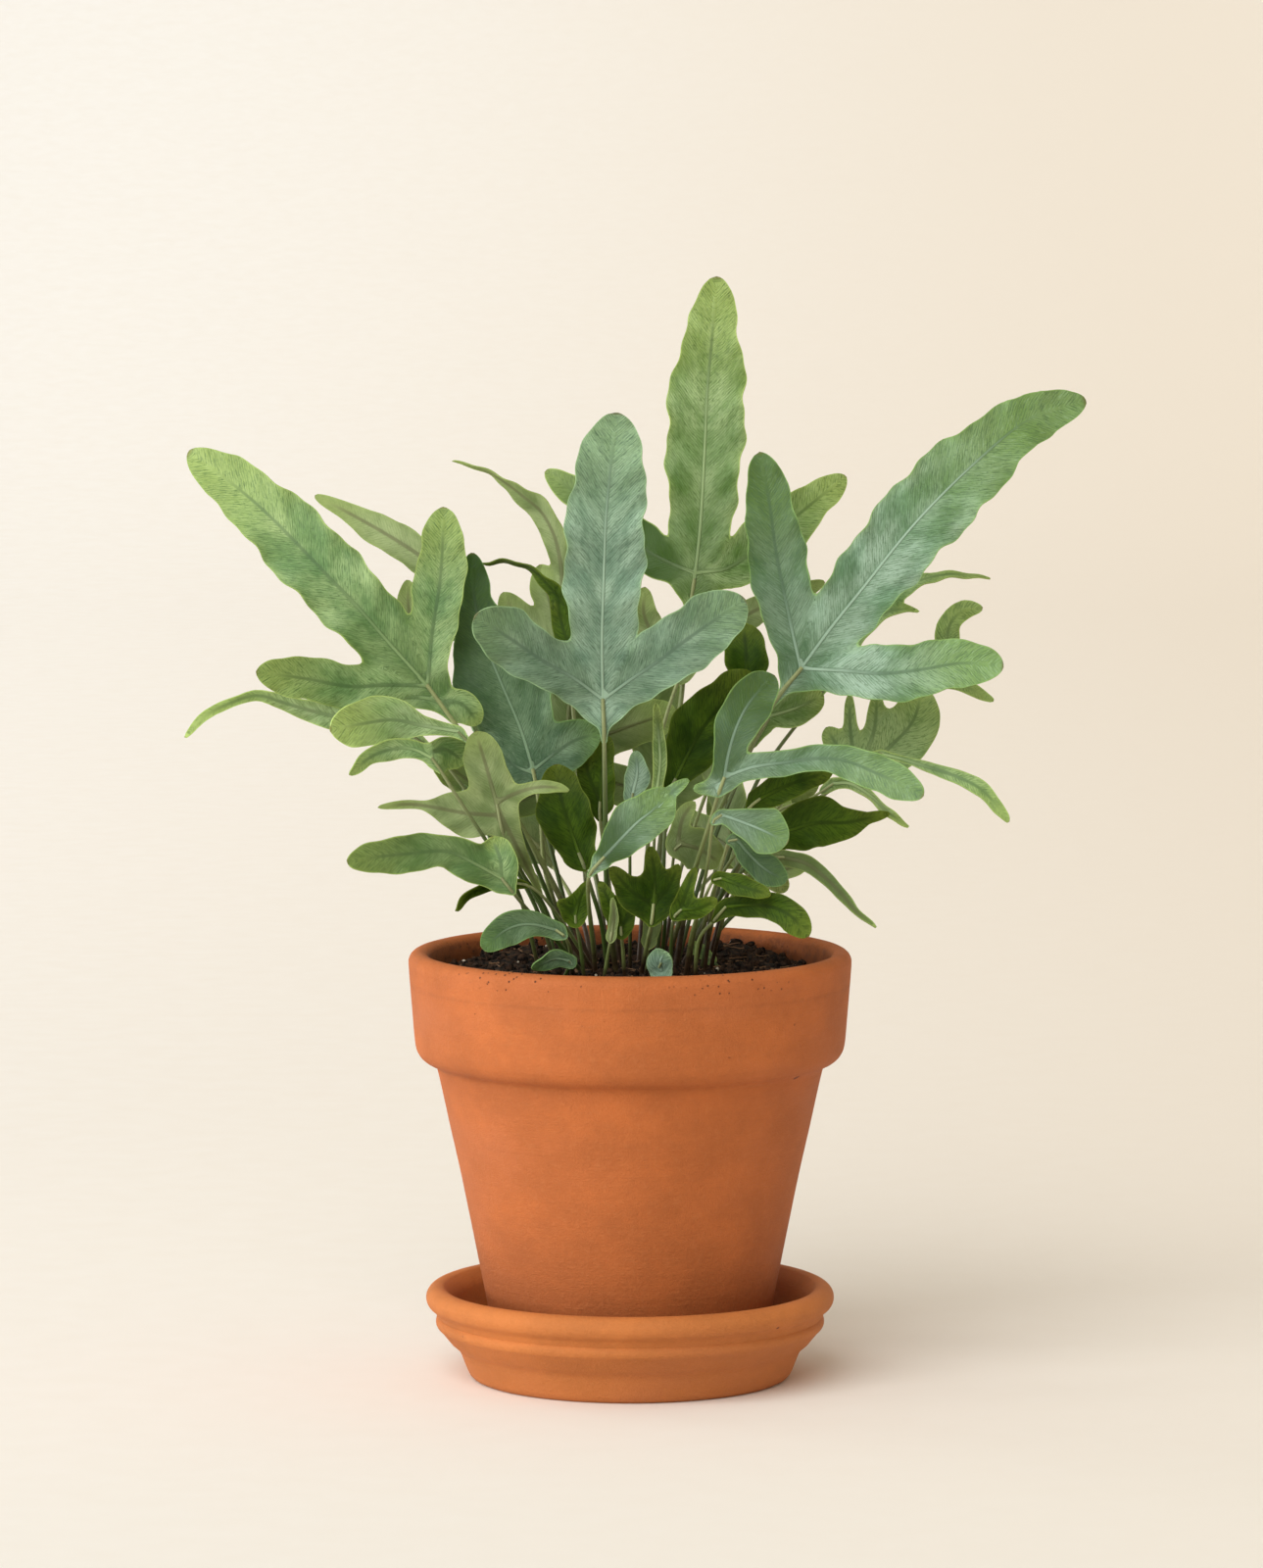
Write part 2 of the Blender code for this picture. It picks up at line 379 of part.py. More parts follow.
def turned(across, up, depth, azimuth):
    """The place in space of a point of a frond that faces away from the pot's axis at an azimuth."""
    c, s = math.cos(math.radians(azimuth)), math.sin(math.radians(azimuth))
    return np.stack([across * c - depth * s, across * s + depth * c, up], -1)


def placed(frond, across, up, depth):
    """The place in space of a frond's point, in the way that the frond is described."""
    if frond.azimuth is None:
        return seen(across, up, depth)
    return turned(across, up, depth, frond.azimuth)


def lobe_guide(lobe, phase):
    """The lobe's midrib as an even line, with its tangents, length and the phase of its waves."""
    line = smooth_line(lobe.line, 30)
    tangents = np.gradient(line, axis=0)
    tangents /= np.linalg.norm(tangents, axis=1)[:, None]
    length = np.linalg.norm(np.diff(line, axis=0), axis=1).sum()
    return Guide(line, tangents, length, phase)


def beside(points, guide):
    """Where points lie by a midrib: how far along it from 0 to 1, the offset across, and past its ends."""
    start, step = guide.line[:-1], np.diff(guide.line, axis=0)
    rel = points[:, None, :] - start[None]
    share = np.clip((rel * step).sum(2) / (step * step).sum(1), 0, 1)
    gap = rel - share[..., None] * step
    distance = np.linalg.norm(gap, axis=2)
    nearest = distance.argmin(1)
    rows = np.arange(len(points))
    along = (nearest + share[rows, nearest]) / len(step)
    tangent = guide.tangents[np.rint(along * len(step)).astype(int)]
    offset = gap[rows, nearest]
    across = tangent[:, 0] * offset[:, 1] - tangent[:, 1] * offset[:, 0]
    past = (tangent * offset).sum(1)
    return Place(along, across, past, distance[rows, nearest], tangent)


def half_width(lobe, along):
    """The lobe's half width along its midrib, closed by a round tip."""
    count = len(lobe.widths)
    start = (count - 1) / count
    body = spread(lobe.widths, np.clip(along / start, 0, 1))
    cap = np.clip((along - start) / (1 - start), 0, 1)
    return body * np.sqrt(1 - cap ** 2.2) * (1 - 0.18 * cap)


def scallop(guide, along, across):
    """How much the margin's waves widen and narrow a lobe, away from its root and its tip."""
    calm = np.clip(5 * along, 0, 1) * np.clip(8 * (1 - along), 0, 1)
    turns = 2 * math.pi * along * guide.length / WAVE_LENGTH
    return 1 + SCALLOP * calm * np.sin(turns + guide.phase + SIDE_LAG * (across > 0))


def rachis_lobe(frond):
    """The narrow wedge of blade between the stipe and where the lowest lobes spread."""
    fork = min(3.0, 0.7 * max(lobe.widths[0] for lobe in frond.lobes))
    return Lobe(frond.rachis, (1.0, 1.6, fork), (0, 0), (0, 0))


def frond_lobes(frond):
    """Every lobe of a frond with its guide, the wedge at the blade's base first."""
    lobes = [rachis_lobe(frond)] + list(frond.lobes)
    return [(lobe, lobe_guide(lobe, 1.7 * k + 0.37 * len(frond.name))) for k, lobe in enumerate(lobes)]


def field(points, lobes):
    """Below zero inside the blade, above zero outside, with the lobes run together where they meet."""
    each = []
    for lobe, guide in lobes:
        place = beside(points, guide)
        each.append(place.distance - half_width(lobe, place.along) * scallop(guide, place.along, place.across))
    each = np.array(each)
    low = each.min(0)
    return low - SINUS_ROUNDING * np.log(np.exp((low - each) / SINUS_ROUNDING).sum(0)), each


def outline(lobes):
    """The blade's margin: the closed line where the field is zero, walked square by square over a grid."""
    reach = np.vstack([guide[0] for lobe, guide in lobes])
    margin = max(max(lobe.widths) for lobe, guide in lobes) + 4
    low, high = reach.min(0) - margin, reach.max(0) + margin
    xs, ys = np.arange(low[0], high[0], FIELD_STEP), np.arange(low[1], high[1], FIELD_STEP)
    grid = np.stack(np.meshgrid(xs, ys, indexing="ij"), -1)
    values = field(grid.reshape(-1, 2), lobes)[0].reshape(len(xs), len(ys))
    inside = values < 0
    corners = inside[:-1, :-1].astype(int) + inside[1:, :-1] + inside[1:, 1:] + inside[:-1, 1:]
    follow = {}
    for i, j in zip(*np.nonzero((corners > 0) & (corners < 4))):
        ring = [(i, j), (i + 1, j), (i + 1, j + 1), (i, j + 1)]
        leaves, enters = [], []
        for a, b in zip(ring, ring[1:] + ring[:1]):
            if inside[a] and not inside[b]:
                leaves.append((min(a, b), max(a, b)))
            elif inside[b] and not inside[a]:
                enters.append((min(a, b), max(a, b)))
        for a, b in zip(leaves, enters):
            follow[a] = b
    return longest_loop(follow, values, grid)


def longest_loop(follow, values, grid):
    """The longest closed walk through the crossed edges, each point set where the field is zero."""
    best = []
    left = set(follow)
    while left:
        edge = min(left)
        loop = []
        while edge in left:
            left.discard(edge)
            loop.append(edge)
            edge = follow[edge]
        best = max(best, loop, key=len)
    a, b = (np.array([edge[k] for edge in best]) for k in (0, 1))
    va, vb = values[a[:, 0], a[:, 1]], values[b[:, 0], b[:, 1]]
    pa, pb = grid[a[:, 0], a[:, 1]], grid[b[:, 0], b[:, 1]]
    return pa + (pb - pa) * (va / (va - vb))[:, None]


def simplified(loop):
    """The fewest points of a closed line that keep its shape, with none far from the next."""
    far = int(np.linalg.norm(loop - loop[0], axis=1).argmax())
    keep = {0, far}
    spans = [(0, far), (far, len(loop))]
    while spans:
        start, end = spans.pop()
        if end - start < 2:
            continue
        a, b = loop[start], loop[end % len(loop)]
        chord = b - a
        length = np.linalg.norm(chord)
        inner = loop[start + 1:end] - a
        off = np.abs(inner[:, 0] * chord[1] - inner[:, 1] * chord[0]) / max(length, 1e-6)
        worst = int(off.argmax())
        if off[worst] > OUTLINE_TOLERANCE or length > OUTLINE_SPACING:
            middle = start + 1 + (worst if off[worst] > OUTLINE_TOLERANCE else (end - start - 1) // 2)
            keep.add(middle)
            spans += [(start, middle), (middle, end)]
    return loop[sorted(keep)]


def filling(loop, lobes, fork):
    """Points inside the blade: where it forks, and a triangular grid clear of that point and of its margin."""
    low, high = loop.min(0), loop.max(0)
    rows = np.arange(low[1] + SURFACE_SPACING / 2, high[1], SURFACE_SPACING * 0.866)
    points = []
    for k, y in enumerate(rows):
        xs = np.arange(low[0] + (k % 2) * SURFACE_SPACING / 2, high[0], SURFACE_SPACING)
        points += [(x, y) for x in xs]
    points = np.array(points)
    clear_of_margin = field(points, lobes)[0] < -MARGIN_CLEARANCE
    clear_of_fork = np.linalg.norm(points - fork, axis=1) > FORK_CLEARANCE
    return np.vstack([[fork], points[clear_of_margin & clear_of_fork]])


def folds(place, guide, half):
    """How far back the keel and the margin's waves take points that lie beside a midrib."""
    side = np.clip(np.abs(place.across) / half, 0, 1.2)
    turns = 2 * math.pi * place.along * guide.length / WAVE_LENGTH
    wave = WAVE_HEIGHT * half * side ** 2 * np.sin(turns + guide.phase + WAVE_LAG * (place.across > 0))
    return wave * np.clip(place.along * 6, 0, 1) - KEEL * np.abs(place.across) * np.clip(place.along * 4, 0.2, 1)


def bent(points, lobes, frond):
    """The blade's flat points carried to where each lobe's bow, turn, keel and waves take them."""
    fields = field(points, lobes)[1]
    weights = np.exp((fields.min(0) - fields) / BEND_BLENDING)
    weights /= weights.sum(0)
    flat = np.zeros_like(points)
    depth = np.zeros(len(points))
    for weight, (lobe, guide) in zip(weights, lobes):
        place = beside(points, guide)
        half = np.maximum(half_width(lobe, place.along), 0.3 * max(lobe.widths))
        turn = np.radians(spread(lobe.turn, place.along))
        rise = folds(place, guide, half)
        steps = np.linspace(0, 1, len(guide.line))
        centre = np.stack([np.interp(place.along, steps, guide.line[:, k]) for k in (0, 1)], 1)
        normal = np.stack([-place.tangent[:, 1], place.tangent[:, 0]], 1)
        aside = place.across * np.cos(turn) - rise * np.sin(turn)
        flat += weight[:, None] * (centre + place.past[:, None] * place.tangent + aside[:, None] * normal)
        depth += weight * (frond.depth + spread(lobe.bow, place.along) + place.across * np.sin(turn)
                           + rise * np.cos(turn))
    return placed(frond, flat[:, 0], flat[:, 1], depth)


def link(obj, collection):
    """Put an object in a collection and hand it back."""
    collection.objects.link(obj)
    return obj


def material(name, colour, roughness):
    """A plain surface of one colour."""
    surface = bpy.data.materials.new(name)
    surface.use_nodes = True
    shader = surface.node_tree.nodes["Principled BSDF"]
    shader.inputs["Base Color"].default_value = (*colour, 1)
    shader.inputs["Roughness"].default_value = roughness
    shader.inputs["Metallic"].default_value = 0
    surface.diffuse_color = (*colour, 1)
    return surface


def settle(obj):
    """Replace an object's mesh by what its modifiers make of it."""
    graph = bpy.context.evaluated_depsgraph_get()
    mesh = bpy.data.meshes.new_from_object(obj.evaluated_get(graph))
    obj.modifiers.clear()
    obj.data = mesh


def boolean(obj, other, operation):
    """Join or cut an object with another, which is then removed."""
    modifier = obj.modifiers.new(operation.title(), "BOOLEAN")
    modifier.operation = operation
    modifier.object = other
    modifier.solver = "EXACT"
    settle(obj)
    bpy.data.objects.remove(other)


def turned_solid(name, profile, collection):
    """A profile of radii and heights turned about the pot's axis, run down its outer side first."""
    mesh = bpy.data.meshes.new(name)
    points = [(r * MM, 0, z * MM) for r, z in profile]
    edges = [(k, k + 1) for k in range(len(points) - 1)]
    if profile[0][0] > 0:
        edges.append((len(points) - 1, 0))
    mesh.from_pydata(points, edges, [])
    obj = link(bpy.data.objects.new(name, mesh), collection)
    screw = obj.modifiers.new("Turn", "SCREW")
    screw.steps = screw.render_steps = TURN_STEPS
    screw.use_merge_vertices = True
    screw.merge_threshold = 0.00001
    settle(obj)
    return obj


def arc(centre, radius, start, end, steps):
    """Points on an arc in a profile, by angles in degrees."""
    angles = [math.radians(start + (end - start) * k / steps) for k in range(steps + 1)]
    return [(centre[0] + radius * math.cos(a), centre[1] + radius * math.sin(a)) for a in angles]


def make_saucer(collection):
    """The saucer: a rolled rim and a second ring outside, a smooth dish inside."""
    bead = arc((SAUCER_RIM_RADIUS - BEAD_RADIUS, SAUCER_TOP_Z - BEAD_RADIUS), BEAD_RADIUS, 120, -45, 5)
    ring = arc((65.4, 19.6), RING_RADIUS, 40, -60, 3)
    foot = [(63.2, 12.6), (60.2, 9.8), (58.0, 4.7), (56.4, 1.2), (SAUCER_FOOT_RADIUS, 0)]
    inside = [(52.5, SAUCER_FLOOR_Z), (57.5, 10.4), (60.6, 19.0), (62.6, 27.2)]
    obj = turned_solid("saucer", bead + ring + foot + [(0, 0), (0, SAUCER_FLOOR_Z)] + inside, collection)
    close_axis(obj)
    obj.data.materials.append(material("saucer clay", CLAY, 0.85))
    return obj


def make_pot(collection):
    """The pot: a collar with rounded edges on a body that narrows downwards, hollow, with a drainage hole."""
    lip = [(70.3, 148.2), (71.5, 150.0), (73.7, POT_TOP_Z), (75.8, 150.1), (77.2, 148.5), (POT_RIM_RADIUS, 145.6)]
    collar = [(76.3, 130.0), (75.3, 118.5), (74.2, 114.9), (72.2, 112.7), (68.6, POT_COLLAR_FOOT_Z)]
    foot = [(47.2, POT_BASE_Z + 1.2), (POT_FOOT_RADIUS, POT_BASE_Z)]
    body = [(67.2, 107.6), (58.5, 68.0), (50.0, 25.0)]
    floor_z = POT_BASE_Z + POT_FLOOR
    hole = [(DRAIN_RADIUS, POT_BASE_Z), (DRAIN_RADIUS, floor_z)]
    inside = [(40.0, floor_z), (42.4, 17.0), (51.2, 68.0), (60.0, 108.0), (67.6, 122.0), (69.6, 138.0)]
    obj = turned_solid("pot", lip + collar + body + foot + hole + inside, collection)
    obj.data.materials.append(material("pot clay", CLAY, 0.85))
    return obj


def close_axis(obj):
    """Weld the points that a profile leaves on the axis."""
    edit = bmesh.new()
    edit.from_mesh(obj.data)
    bmesh.ops.remove_doubles(edit, verts=edit.verts, dist=0.00001)
    bmesh.ops.dissolve_degenerate(edit, edges=edit.edges, dist=0.00001)
    bmesh.ops.recalc_face_normals(edit, faces=edit.faces)
    edit.to_mesh(obj.data)
    edit.free()


def soil_height(radius):
    """The soil's surface, a little higher in the middle."""
    return SOIL_EDGE_Z + SOIL_MOUND * (1 - (radius / SOIL_RADIUS) ** 2)


def make_soil(collection):
    """The soil: it fills the pot, with a plain hole for each stipe."""
    top = [(r, soil_height(r)) for r in (0.0, 22.0, 42.0, 62.0, SOIL_RADIUS)]
    floor_z = POT_BASE_Z + POT_FLOOR + GAP
    side = [(67.1, 122.2), (59.6, 108.2), (50.8, 68.0), (42.0, 17.2), (39.6, floor_z), (0.0, floor_z)]
    obj = turned_solid("soil", top + side, collection)
    close_axis(obj)
    obj.data.materials.append(material("potting soil", SOIL, 0.95))
    return obj


def drill_soil(soil, roots, collection):
    """Cut the holes that the stipes stand in, each a little wider and deeper than its stipe."""
    edit = bmesh.new()
    top = SOIL_EDGE_Z + SOIL_MOUND + 3
    for x, y, radius in roots:
        bottom = soil_height(math.hypot(x, y)) - STIPE_DEPTH - GAP
        wide = (radius + GAP) / math.cos(math.pi / HOLE_SIDES)
        made = bmesh.ops.create_cone(edit, cap_ends=True, segments=HOLE_SIDES, radius1=wide * MM,
                                     radius2=wide * MM, depth=(top - bottom) * MM)
        bmesh.ops.translate(edit, verts=made["verts"], vec=Vector((x, y, (top + bottom) / 2)) * MM)
    mesh = bpy.data.meshes.new("stipe holes")
    edit.to_mesh(mesh)
    edit.free()
    cutter = link(bpy.data.objects.new("stipe holes", mesh), collection)
    boolean(soil, cutter, "DIFFERENCE")


def tube(name, points, radii, resolution, collection):
    """A round bar through the points, with its radius at each, as a closed mesh."""
    curve = bpy.data.curves.new(name, "CURVE")
    curve.dimensions = "3D"
    curve.bevel_depth = MM
    curve.bevel_resolution = resolution
    curve.use_fill_caps = True
    spline = curve.splines.new("POLY")
    spline.points.add(len(points) - 1)
    for target, place, radius in zip(spline.points, points, radii):
        target.co = (*(Vector(place) * MM), 1)
        target.radius = radius
    bar = link(bpy.data.objects.new(name + " curve", curve), collection)
    graph = bpy.context.evaluated_depsgraph_get()
    mesh = bpy.data.meshes.new_from_object(bar.evaluated_get(graph))
    edit = bmesh.new()
    edit.from_mesh(mesh)
    bmesh.ops.remove_doubles(edit, verts=edit.verts, dist=0.00001)
    edit.to_mesh(mesh)
    edit.free()
    solid = link(bpy.data.objects.new(name, mesh), collection)
    bpy.data.objects.remove(bar)
    return solid


def stipe_path(frond, lobes):
    """The stipe's way: upright out of its hole, along its points, and on inside the blade's first wedge."""
    x, y = frond.root
    ground = soil_height(math.hypot(x, y))
    way = np.array(frond.stipe, float)
    if frond.azimuth is None:
        lift = np.clip((way[:, 1] - ground) / (frond.rachis[0][1] - ground), 0, 1)
        depth = y + (frond.depth - y) * lift ** 1.15
    else:
        depth = way[:, 2]
    knots = np.vstack([[x, y, ground + 1.0], placed(frond, way[:, 0], way[:, 1], depth),
                       bent(np.array(frond.rachis, float), lobes, frond)])
    count = max(5, int(np.linalg.norm(knots[-1] - knots[0]) / STIPE_SPACING) + 3)
    passed = np.concatenate([[0], np.cumsum(np.linalg.norm(np.diff(knots, axis=0), axis=1))])
    path = smooth_line(np.column_stack([passed, np.zeros(len(knots)), knots]), count)[:, 2:]
    return np.vstack([[x, y, ground - STIPE_DEPTH], path])


def make_blade(frond, lobes, collection):
    """The blade: its outline filled with triangles, bent to its shape and given its thickness."""
    loop = simplified(outline(lobes))
    points = np.vstack([loop, filling(loop, lobes, frond.rachis[-1])])
    ring = [(k, (k + 1) % len(loop)) for k in range(len(loop))]
    flat, edges, faces, *origins = delaunay_2d_cdt([Vector(p) for p in points], ring, [], 1, 0.0001)
    places = bent(np.array(flat), lobes, frond) * MM
    mesh = bpy.data.meshes.new(frond.name)
    mesh.from_pydata([tuple(p) for p in places], [], faces)
    blade = link(bpy.data.objects.new(frond.name, mesh), collection)
    shell = blade.modifiers.new("Thickness", "SOLIDIFY")
    shell.thickness = BLADE_THICKNESS * MM
    shell.offset = 0
    return blade


def make_frond(frond, collection):
    """One frond: the blade joined to its stipe."""
    lobes = frond_lobes(frond)
    blade = make_blade(frond, lobes, collection)
    path = stipe_path(frond, lobes)
    radii = frond.radius * (1 - STIPE_TAPER * np.linspace(0, 1, len(path)) ** 2)
    stipe = tube(frond.name + " stipe", path, radii, int(frond.radius > SLIM_STIPE), collection)
    settle(blade)
    boolean(blade, stipe, "UNION")
    blade.data.shade_smooth()
    blade.data.materials.clear()
    blade.data.materials.append(material(frond.name + " leaf", HUES[frond.hue], 0.5))
    return blade


def clear_scene():
    """Start from an empty scene."""
    for obj in list(bpy.data.objects):
        bpy.data.objects.remove(obj)


def smooth_turned(obj):
    """Shade a turned piece smooth, with its sharp edges kept."""
    obj.data.shade_smooth()
    obj.data.set_sharp_from_angle(angle=math.radians(40))


def main():
    """Build the saucer, the pot, the soil and every frond."""
    clear_scene()
    collection = bpy.data.collections.new("Potted fern")
    bpy.context.scene.collection.children.link(collection)
    for make in (make_saucer, make_pot):
        smooth_turned(make(collection))
    soil = make_soil(collection)
    fronds = all_fronds()
    drill_soil(soil, [(*frond.root, frond.radius) for frond in fronds], collection)
    smooth_turned(soil)
    for frond in fronds:
        make_frond(frond, collection)


main()
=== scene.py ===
import math
import random
from collections import namedtuple

import bmesh
import bpy
import numpy as np
from bpy.props import FloatProperty, FloatVectorProperty, IntProperty, PointerProperty
from mathutils import Matrix, Vector
from mathutils.geometry import delaunay_2d_cdt


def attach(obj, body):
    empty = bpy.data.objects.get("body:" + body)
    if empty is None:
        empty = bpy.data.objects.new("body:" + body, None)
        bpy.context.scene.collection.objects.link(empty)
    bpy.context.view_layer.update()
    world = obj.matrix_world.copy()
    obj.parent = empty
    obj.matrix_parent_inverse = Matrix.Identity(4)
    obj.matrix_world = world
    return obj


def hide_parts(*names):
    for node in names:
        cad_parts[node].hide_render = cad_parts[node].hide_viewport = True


bl_info = {
    "name": "Potted Blue Star Fern",
    "version": (1, 0, 0),
    "blender": (4, 5, 0),
    "location": "3D View > Sidebar > Fern",
    "description": "Dresses a young blue star fern: turned clay, potting soil and veined fronds in a studio",
    "category": "Add Mesh",
}

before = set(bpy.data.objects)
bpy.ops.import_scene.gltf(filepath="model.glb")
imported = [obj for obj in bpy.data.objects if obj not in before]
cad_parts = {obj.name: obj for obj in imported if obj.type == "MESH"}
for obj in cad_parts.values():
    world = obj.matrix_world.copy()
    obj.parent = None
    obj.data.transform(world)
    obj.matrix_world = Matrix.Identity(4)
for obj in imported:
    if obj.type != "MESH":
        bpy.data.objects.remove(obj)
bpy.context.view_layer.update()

# Lengths are millimetres where nothing else is said, and metres on Blender's objects
MM = 0.001
PHOTO_HEIGHT = 1600

# Camera: its lens in pixels of the photograph, its tilt in degrees, how many pixels the pot's axis is off the
# centre, its height above the floor and its distance
CAMERA_FOCUS = 7404.1
CAMERA_TILT = 5.7687
AXIS_OFF_CENTRE = 1.5
EYE_HEIGHT = 463.8
EYE_DISTANCE = 2521.3

# Broad lights: how far left of the camera they stand, how high, and how wide they look, in degrees
SUNS = (("key", 29, 36, 54), ("top", 160, 68, 90))
SUN_COLOUR = (0.94, 0.985, 1.0)

# Lamps: their kind, their place and what they are aimed at in metres, their colour and their shape
AIM = (0, 0, 0.2)
LAMPS = [
    ("side", "SPOT", (-2.4, -0.35, 0.35), AIM, (1.0, 1.0, 1.0),
     {"spot_size": math.radians(28), "spot_blend": 1.0, "shadow_soft_size": 0.45}),
    ("fill", "AREA", (2.2, -1.0, 0.9), AIM, (1.0, 0.97, 0.93), {"shape": "DISK", "size": 1.5}),
    ("floor", "AREA", (-2.6, 1.6, 1.7), (-0.4, 1.6, 0), (0.98, 0.98, 1.0), {"shape": "DISK", "size": 1.4}),
]
AIR_COLOUR = (1.0, 0.85, 0.6, 1)

# Studio floor: flat, then bending up into a wall to an angle in degrees. Its paper goes over to painted
# shade, darker and warmer, at the right, to painted shade on the wall and to painted light in front, between
# these places in metres.
FLOOR_STEPS = 96
FLOOR_RADIUS = 2000
WALL_START = 3500
WALL_BEND = 7000
WALL_END = 317
PAPER_SHADE_AND_MOTTLE = (0.86, 0.79, 0.7, 1.0)
PAINTED_SHADE_SIDE = (-0.75, 0.75)
PAINTED_SHADE_WALL = (3.2, 7.5)
PAINTED_LIGHT_FRONT = (0.6, -0.4)

# Meshes: how near points are merged, in metres, and the angles in degrees from which an edge is sharp
MERGE_DISTANCE = 0.00001
CLAY_CREASE = 40
LEAF_CREASE = 50

# Turned clay
TURN_STEPS = 144
POT_BASE_Z = 7.3
POT_FLOOR = 7.0
POT_TOP_Z = 150.7
POT_RIM_RADIUS = 77.5
POT_COLLAR_FOOT_Z = 110.7
POT_FOOT_RADIUS = 45.7
DRAIN_RADIUS = 9.0
SAUCER_FLOOR_Z = 7.0
SAUCER_RIM_RADIUS = 71.7
SAUCER_TOP_Z = 32.4
SAUCER_FOOT_RADIUS = 54.5
BEAD_RADIUS = 4.3
RING_RADIUS = 2.9
LIP_LINE_Z = 139.6
POT_CHIPS = (((0.0575, -0.0385, 0.1112), 0.0014),)
SAUCER_CHIPS = (((0.0514, -0.0494, 0.0246), 0.0011),)

# Where the clay goes over to a darker foot, to the stain of damp soil inside and to the pits of its rim
FOOT_HEIGHTS = (80, 22)
STAIN_RADII = (71.6, 70.0)
STAIN_HEIGHTS = (116, 123)
STAIN_TOP_HEIGHTS = (149, 141)
RIM_PIT_HEIGHTS = (142, 145.5)

# Soil and what is strewn on it. A heap is its place, its width and its height. The pale crumb's numbers are
# its distance from the axis, its angle in radians and how far it stands above the soil.
SOIL_EDGE_Z = 141.5
SOIL_MOUND = 3.0
SOIL_RADIUS = 69.1
SOIL_HEAPS = ((-37, 43, 17, 3.6), (-8, 52, 16, 2.0), (39, 52, 19, 4.4), (54, -14, 12, 1.6),
              (-52, -12, 12, 1.4))
SOIL_RINGS = 46
SOIL_SECTORS = 150
SOIL_GRAIN = 0.16
LUMP_WAVES = 40
LUMP_LENGTHS = (3, 17)
LUMP_HEIGHT = 0.9
CRUMB_REACH = 67.0
CRUMB_STRETCH = (0.65, 1.3)
WALL_REACH = 67.6
PALE_CRUMB = (64.2, 2.728, 0.9)
PALE_CRUMB_SIZE = 1.3
PERLITE_COUNT = 14
FIBRE_COUNT = 170
FIBRE_STEPS = 6

# Stipes and midribs. A bar's cross-sections are turned to a direction that no bar runs along.
STIPE_DEPTH = 8.0
STIPE_SPACING = 3.0
STIPE_TAPER = 0.35
STIPE_SLIMNESS = 0.84
STIPE_SIDES = 10
STIPE_CURL = 1.15
STIPE_FOOT = 1.0
RIB_SIDES = 6
RIB_TIP = 0.1
RIB_TAPER = 0.9
RIB_PROBE = 0.5
SIDE_RIB = 0.72
ODD_DIRECTION = (0.31, 0.95, 0.02)

# How far a midrib stands out of the blade at its root, how much less at its tip, and from where its faces
# count as the blade's upper side, as shares of the blade's thickness
RIB_RAISED = 0.68
RIB_SINKING = 0.4
RIB_UPPER = 0.2

# Into how many steps curves are divided, and how far from a margin the finish takes a bar to be
SLANT_STEPS = 4
CURVE_STEPS = 12
SPREAD_STEPS = 40
GUIDE_STEPS = 30
NO_MARGIN = 3

# Fronds: how finely a blade's margin and surface are divided, where its midribs end, the shape of its tips
# and of the wedge at its base, and the least half width that folds are measured by, as a share of the widest
MARGIN_SPACING = 1.2
SURFACE_SPACING = 1.7
ROW_STEP = 0.866
FIELD_STEP = 0.8
OUTLINE_ROOM = 4
RIB_END = 0.94
RIB_FADE = 3
RIB_CLEARANCE = 0.6
POINT_NEARNESS = 0.0001
TIP_ROUNDNESS = 2.2
TIP_TAPER = 0.18
WEDGE_WIDTHS = (1.0, 1.6)
WEDGE_FORK = 3.0
WEDGE_SHARE = 0.7
LEAST_HALF = 0.3
FAR = 99.0

# How lobes run together at a sinus, how their bends are blended, and the folds of their margins. Waves and
# scallops are out of step on a lobe's two sides, from lobe to lobe and from frond to frond, by the lags and
# phases in radians. They die out at a lobe's root and tip as fast as the calms say.
SINUS_ROUNDING = 1.3
BEND_BLENDING = 3.5
VEIN_BLENDING = 0.6
KEEL = 0.12
KEEL_ONSET = 4
LEAST_KEEL = 0.2
WAVE_LENGTH = 24.0
WAVE_HEIGHT = 0.13
WAVE_REACH = 1.2
WAVE_ONSET = 6
LOBE_PHASE = 1.7
FROND_PHASE = 0.37
ROOT_CALM = 5
TIP_CALM = 8
SCALLOP = 0.055
WAVE_LAG = 1.9
SIDE_LAG = 2.6
RIPPLE_LENGTH = 10.6
RIPPLE = 0.028
RIPPLE_LAG = 2.3
PUCKER_LENGTH = 11.5
PUCKER_HEIGHT = 0.46
VEIN_SLOPE = 1.05
VEIN_CURL = 0.012
VEIN_SPACING = 1.2
UNDERSIDE_VEINS = 0.4

# Each frond's own number comes from a seed: this far from one frond to the next, from the first one on
SEED_STEP = 7
FIRST_SEED = 3

Lobe = namedtuple("Lobe", "line widths bow turn shade", defaults=((0, 0), (0, 0), (0, 0)))
Frond = namedtuple("Frond", "name hue root stipe radius depth rachis lobes azimuth", defaults=(None,))
Guide = namedtuple("Guide", "line tangents length phase")
Place = namedtuple("Place", "along across past distance tangent")
Part = namedtuple("Part", "points faces slot vein edge grow tone")

